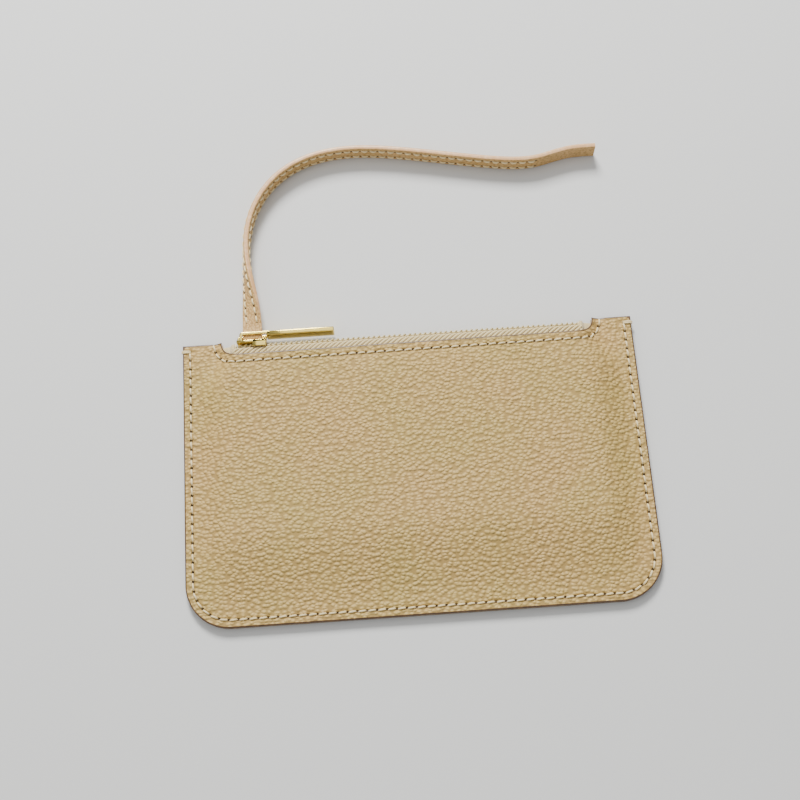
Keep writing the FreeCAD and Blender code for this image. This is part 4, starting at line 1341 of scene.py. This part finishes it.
# ---- the strap ----


@dataclass
class Strap:
    """The flat strap: two plies of fine-grained leather glued face to face, edge-painted and sewn."""

    width: float = 8.4
    ply: float = 1.2
    row_inset: float = 1.9
    twist_length: float = 52.0
    twist_ease: float = 2.2
    bare_end: float = 27.0
    length: float = 229.5
    pitch: float = 4.1
    stitch: float = 2.7
    stitch_slant: float = 0.1
    unsewn: tuple[float, float] = (0.5, 1.0)  # a place in the SEAM attribute with no needle hole near
    paint_reach: float = 0.2
    fold_reach: float = 2.5
    root: tuple[float, float] = (-68.5, 68.961)
    root_height: float = 4.8
    edge_height: float = 4.2
    route: tuple[tuple[float, float], ...] = (
        (0.0, 0.0), (-0.2, 9.0), (-1.4, 21.0), (-2.1, 33.0), (-1.3, 45.0), (1.7, 56.0), (7.1, 66.0),
        (14.7, 74.0), (24.3, 79.8), (35.5, 83.2), (48.5, 84.3), (63.5, 83.0), (80.5, 80.0), (97.5, 76.6),
        (112.5, 73.8), (124.5, 72.2), (134.0, 72.4), (143.0, 74.9), (152.5, 76.9), (162.0, 76.6),
    )

    def centre_line(self) -> list[Vector]:
        """Return the strap's centre line, in metres, lying on the floor past its root."""
        x0, y0 = self.root
        gone, last, points = 0.0, self.route[0], []
        for x, y in self.route:
            gone += math.dist((x, y), last)
            last = (x, y)
            z = self.root_height + (self.edge_height - self.root_height) * min(gone / self.twist_length, 1.0)
            points.append(Vector((x0 + x, y0 + y, z)) * MM)
        return smooth_line("strap_line", points, 10)

    def frames(self, points: Sequence[Vector]) -> list[Matrix]:
        """Return a frame at each point: x across the strap, y out of its outer face."""
        made, gone = [], 0.0
        for k, point in enumerate(points):
            if k:
                gone += (point - points[k - 1]).length / MM
            ahead = points[min(k + 1, len(points) - 1)] - points[max(k - 1, 0)]
            ahead.z = 0.0
            heading = ahead.normalized()
            aside = Vector((-heading.y, heading.x, 0.0))
            share = min(gone / self.twist_length, 1.0)
            turned = math.radians(90) * (1 - (1 - share) ** self.twist_ease)
            up = Vector((0, 0, 1))
            wide = up * math.sin(turned) - aside * math.cos(turned)
            out = up * math.cos(turned) + aside * math.sin(turned)
            made.append(Matrix((wide, out, wide.cross(out))).transposed().to_4x4())
            made[-1].translation = point
        return made

    def ply_section(self, side: int) -> list[tuple[float, float]]:
        """Return a ply's section: round painted edges, and a channel under each stitch row."""
        row, half, ply = self.width / 2 - self.row_inset, self.width / 2, self.ply
        face = [(-half, 0.03), (-half, ply * 0.45), (-half + 0.1, ply * 0.72), (-half + 0.35, ply * 0.94)]
        face += [(-row - 0.8, ply * 1.02), (-row - 0.35, ply * 0.96), (-row, ply * 0.84)]
        face += [(-row + 0.35, ply * 0.96), (-row + 0.8, ply * 1.03), (0.0, ply * 1.05)]
        face += [(-x, y) for x, y in face[-2::-1]]
        return [(x * MM, side * y * MM) for x, y in face]

    def make_ply(self, name: str, side: int, frames: Sequence[Matrix]) -> bpy.types.Object:
        """Make one ply of the strap."""
        bm = bmesh.new()
        sweep(bm, self.ply_section(side), frames)
        rest, seam = coordinates(bm), coordinates(bm, SEAM)
        row = (self.width / 2 - self.row_inset) * MM
        sewn = (self.length - self.bare_end) * MM
        for vert in bm.verts:
            along, across, out = vert[rest]
            off = abs(across) - row if along < sewn else 1.0
            vert[seam] = (along / (self.pitch * MM), off, 0.0)
            if abs(out) < 0.3 * self.ply * MM:
                vert[seam] = (*self.unsewn, 0.0)
        painted = (self.width / 2 - self.paint_reach) * MM
        for face in bm.faces:
            end = abs(face.normal.dot(frames[-1].col[2].to_3d())) > 0.9 and len(face.verts) > 4
            edge = all(abs(vert[rest][1]) > painted for vert in face.verts)
            face.material_index = 1 if edge or end else 0
        return finished(bm, name, [STRAP_LEATHER, STRAP_EDGE], smooth=50)

    def make_thread(self, frames: Sequence[Matrix], stitching: Stitching) -> bpy.types.Object:
        """Make the two stitch rows on both faces."""
        bm = bmesh.new()
        gone = [0.0]
        for last, here in zip(frames, frames[1:]):
            gone.append(gone[-1] + (here.translation - last.translation).length / MM)
        row, lift = self.width / 2 - self.row_inset, self.ply * 0.86 + 0.06
        for number in range(int((self.length - self.bare_end) / self.pitch)):
            along = (number + 0.5) * self.pitch
            index = max(j for j in range(len(gone)) if gone[j] <= along)
            share = (along - gone[index]) / (gone[index + 1] - gone[index])
            here = frames[index].lerp(frames[index + 1], share)
            wide, out, ahead = (here.col[k].to_3d().normalized() for k in range(3))
            for across in (-row, row):
                for side in (-1, 1):
                    middle = here.translation + (wide * across + out * side * lift) * MM
                    heading = (ahead + wide * self.stitch_slant).normalized()
                    stitching.stitch(bm, middle, heading, out * side, self.stitch * MM)
        return finished(bm, "tether_thread", [THREAD])

    def make_loop(self) -> bpy.types.Object:
        """Make the strap's fold round the slider's bridge."""
        low, high = (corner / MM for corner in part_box("tether_loop"))
        middle_x, middle_z = (low.x + high.x) / 2, (low.z + high.z) / 2
        end = self.root[1] + 0.25
        outer = (high.z - low.z) / 2
        centre, radius = low.y + outer, outer - self.ply / 2
        half = (
            (end, self.ply / 2), (end - 2.0, self.ply / 2 + 0.03), (centre + 2.6, radius * 0.72),
            (centre + 1.0, radius * 1.02), (centre - 0.2, radius * 1.06),
            (centre - radius * 0.85, radius * 0.92), (centre - radius * 1.05, radius * 0.35),
        )
        route = [*half, *((y, -z) for y, z in half[::-1])]
        points = [Vector((middle_x, y, middle_z + z)) * MM for y, z in route]
        section = rounded_section(self.width * MM, self.ply * MM, 0.35 * MM)
        bm = bmesh.new()
        sweep(bm, section, frames_along(smooth_line("loop_line", points, 6), Vector((1, 0, 0))))
        rest, seam = coordinates(bm), coordinates(bm, SEAM)
        painted = (self.width / 2 - self.paint_reach) * MM
        for vert in bm.verts:
            vert[seam] = (*self.unsewn, 0.0)
        for face in bm.faces:
            face.material_index = 1 if all(abs(vert[rest][1]) > painted for vert in face.verts) else 0
        return finished(bm, "tether_loop", [STRAP_LEATHER, STRAP_EDGE], smooth=50)

    def build(self, stitching: Stitching) -> None:
        points = self.centre_line()
        frames = self.frames(points)
        outer = self.make_ply("tether_outer_ply", 1, frames)
        inner = self.make_ply("tether_inner_ply", -1, frames)
        thread = self.make_thread(frames, stitching)
        for piece in (outer, inner, thread):
            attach(piece, "tether")
        loop = self.make_loop()
        crease = points[0]
        start = (crease.x, crease.y - self.fold_reach * MM, crease.z)
        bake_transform(loop, "slider", "tether", start=start, end=(crease.x, crease.y, crease.z))


# ---- the studio ----


@dataclass
class Studio:
    """The camera, the floor and the soft lights."""

    place: tuple[float, float, float] = (-0.0067, -0.1349, 0.5019)
    looking: tuple[float, float, float] = (0.0031, 0.3130, -0.9498)
    up: tuple[float, float, float] = (0.0686, 0.9475, 0.3124)
    lens: float = 54.0

    def camera(self) -> None:
        """Make the camera."""
        data = bpy.data.cameras.new("camera")
        data.lens, data.sensor_width, data.clip_start = self.lens, 36.0, 0.01
        made = bpy.data.objects.new("camera", data)
        bpy.context.scene.collection.objects.link(made)
        back = -Vector(self.looking).normalized()
        right = Vector(self.up).cross(back).normalized()
        made.matrix_world = Matrix((right, back.cross(right), back)).transposed().to_4x4()
        made.matrix_world.translation = Vector(self.place)
        bpy.context.scene.camera = made

    def floor(self) -> None:
        """Lay the floor under the pouch."""
        bm = bmesh.new()
        bmesh.ops.create_grid(bm, x_segments=4, y_segments=4, size=3.0)
        mesh = bpy.data.meshes.new("floor")
        bm.to_mesh(mesh)
        bm.free()
        mesh.materials.append(FLOOR.material())
        made = bpy.data.objects.new("floor", mesh)
        made.location.z = CAD_BOX[0].z - 0.2 * MM
        bpy.context.scene.collection.objects.link(made)

    def light(self, name: str, place: Sequence[float], size: float, power: float) -> None:
        """Hang one soft light, facing the pouch."""
        data = bpy.data.lights.new(name, "AREA")
        data.size, data.energy = size, power
        made = bpy.data.objects.new(name, data)
        made.location = place
        made.rotation_euler = (Vector((0, 0.03, 0)) - Vector(place)).to_track_quat("-Z", "Y").to_euler()
        bpy.context.scene.collection.objects.link(made)

    def build(self) -> None:
        """Set up the camera, floor, lights and sky."""
        self.camera()
        self.floor()
        self.light("key", (-0.15, 1.1, 0.9), 0.45, 38.0)
        self.light("fill", (-0.9, -0.3, 0.8), 0.9, 3.0)
        self.light("front", (0.4, -0.9, 0.9), 0.8, 3.0)
        self.light("ceiling", (0.0, 0.45, 1.15), 0.7, 2.4)
        world = bpy.data.worlds.new("studio_air")
        world.use_nodes = True
        sky = world.node_tree.nodes["Background"]
        sky.inputs["Color"].default_value = linear("E6E8EC")
        sky.inputs["Strength"].default_value = 0.4
        bpy.context.scene.world = world


def main() -> None:
    """Build the studio, then the pouch, one sub-assembly after another."""
    logging.basicConfig(level=logging.INFO, format="%(name)s: %(message)s")
    Studio().build()
    panels = Panels(Outline())
    stitching = Stitching(panels)
    Strap().build(stitching)
    panels.build()
    stitching.build()
    Zip(panels).build()
    Slider().build()
    Pull().build()


if __name__ == "__main__":
    main()
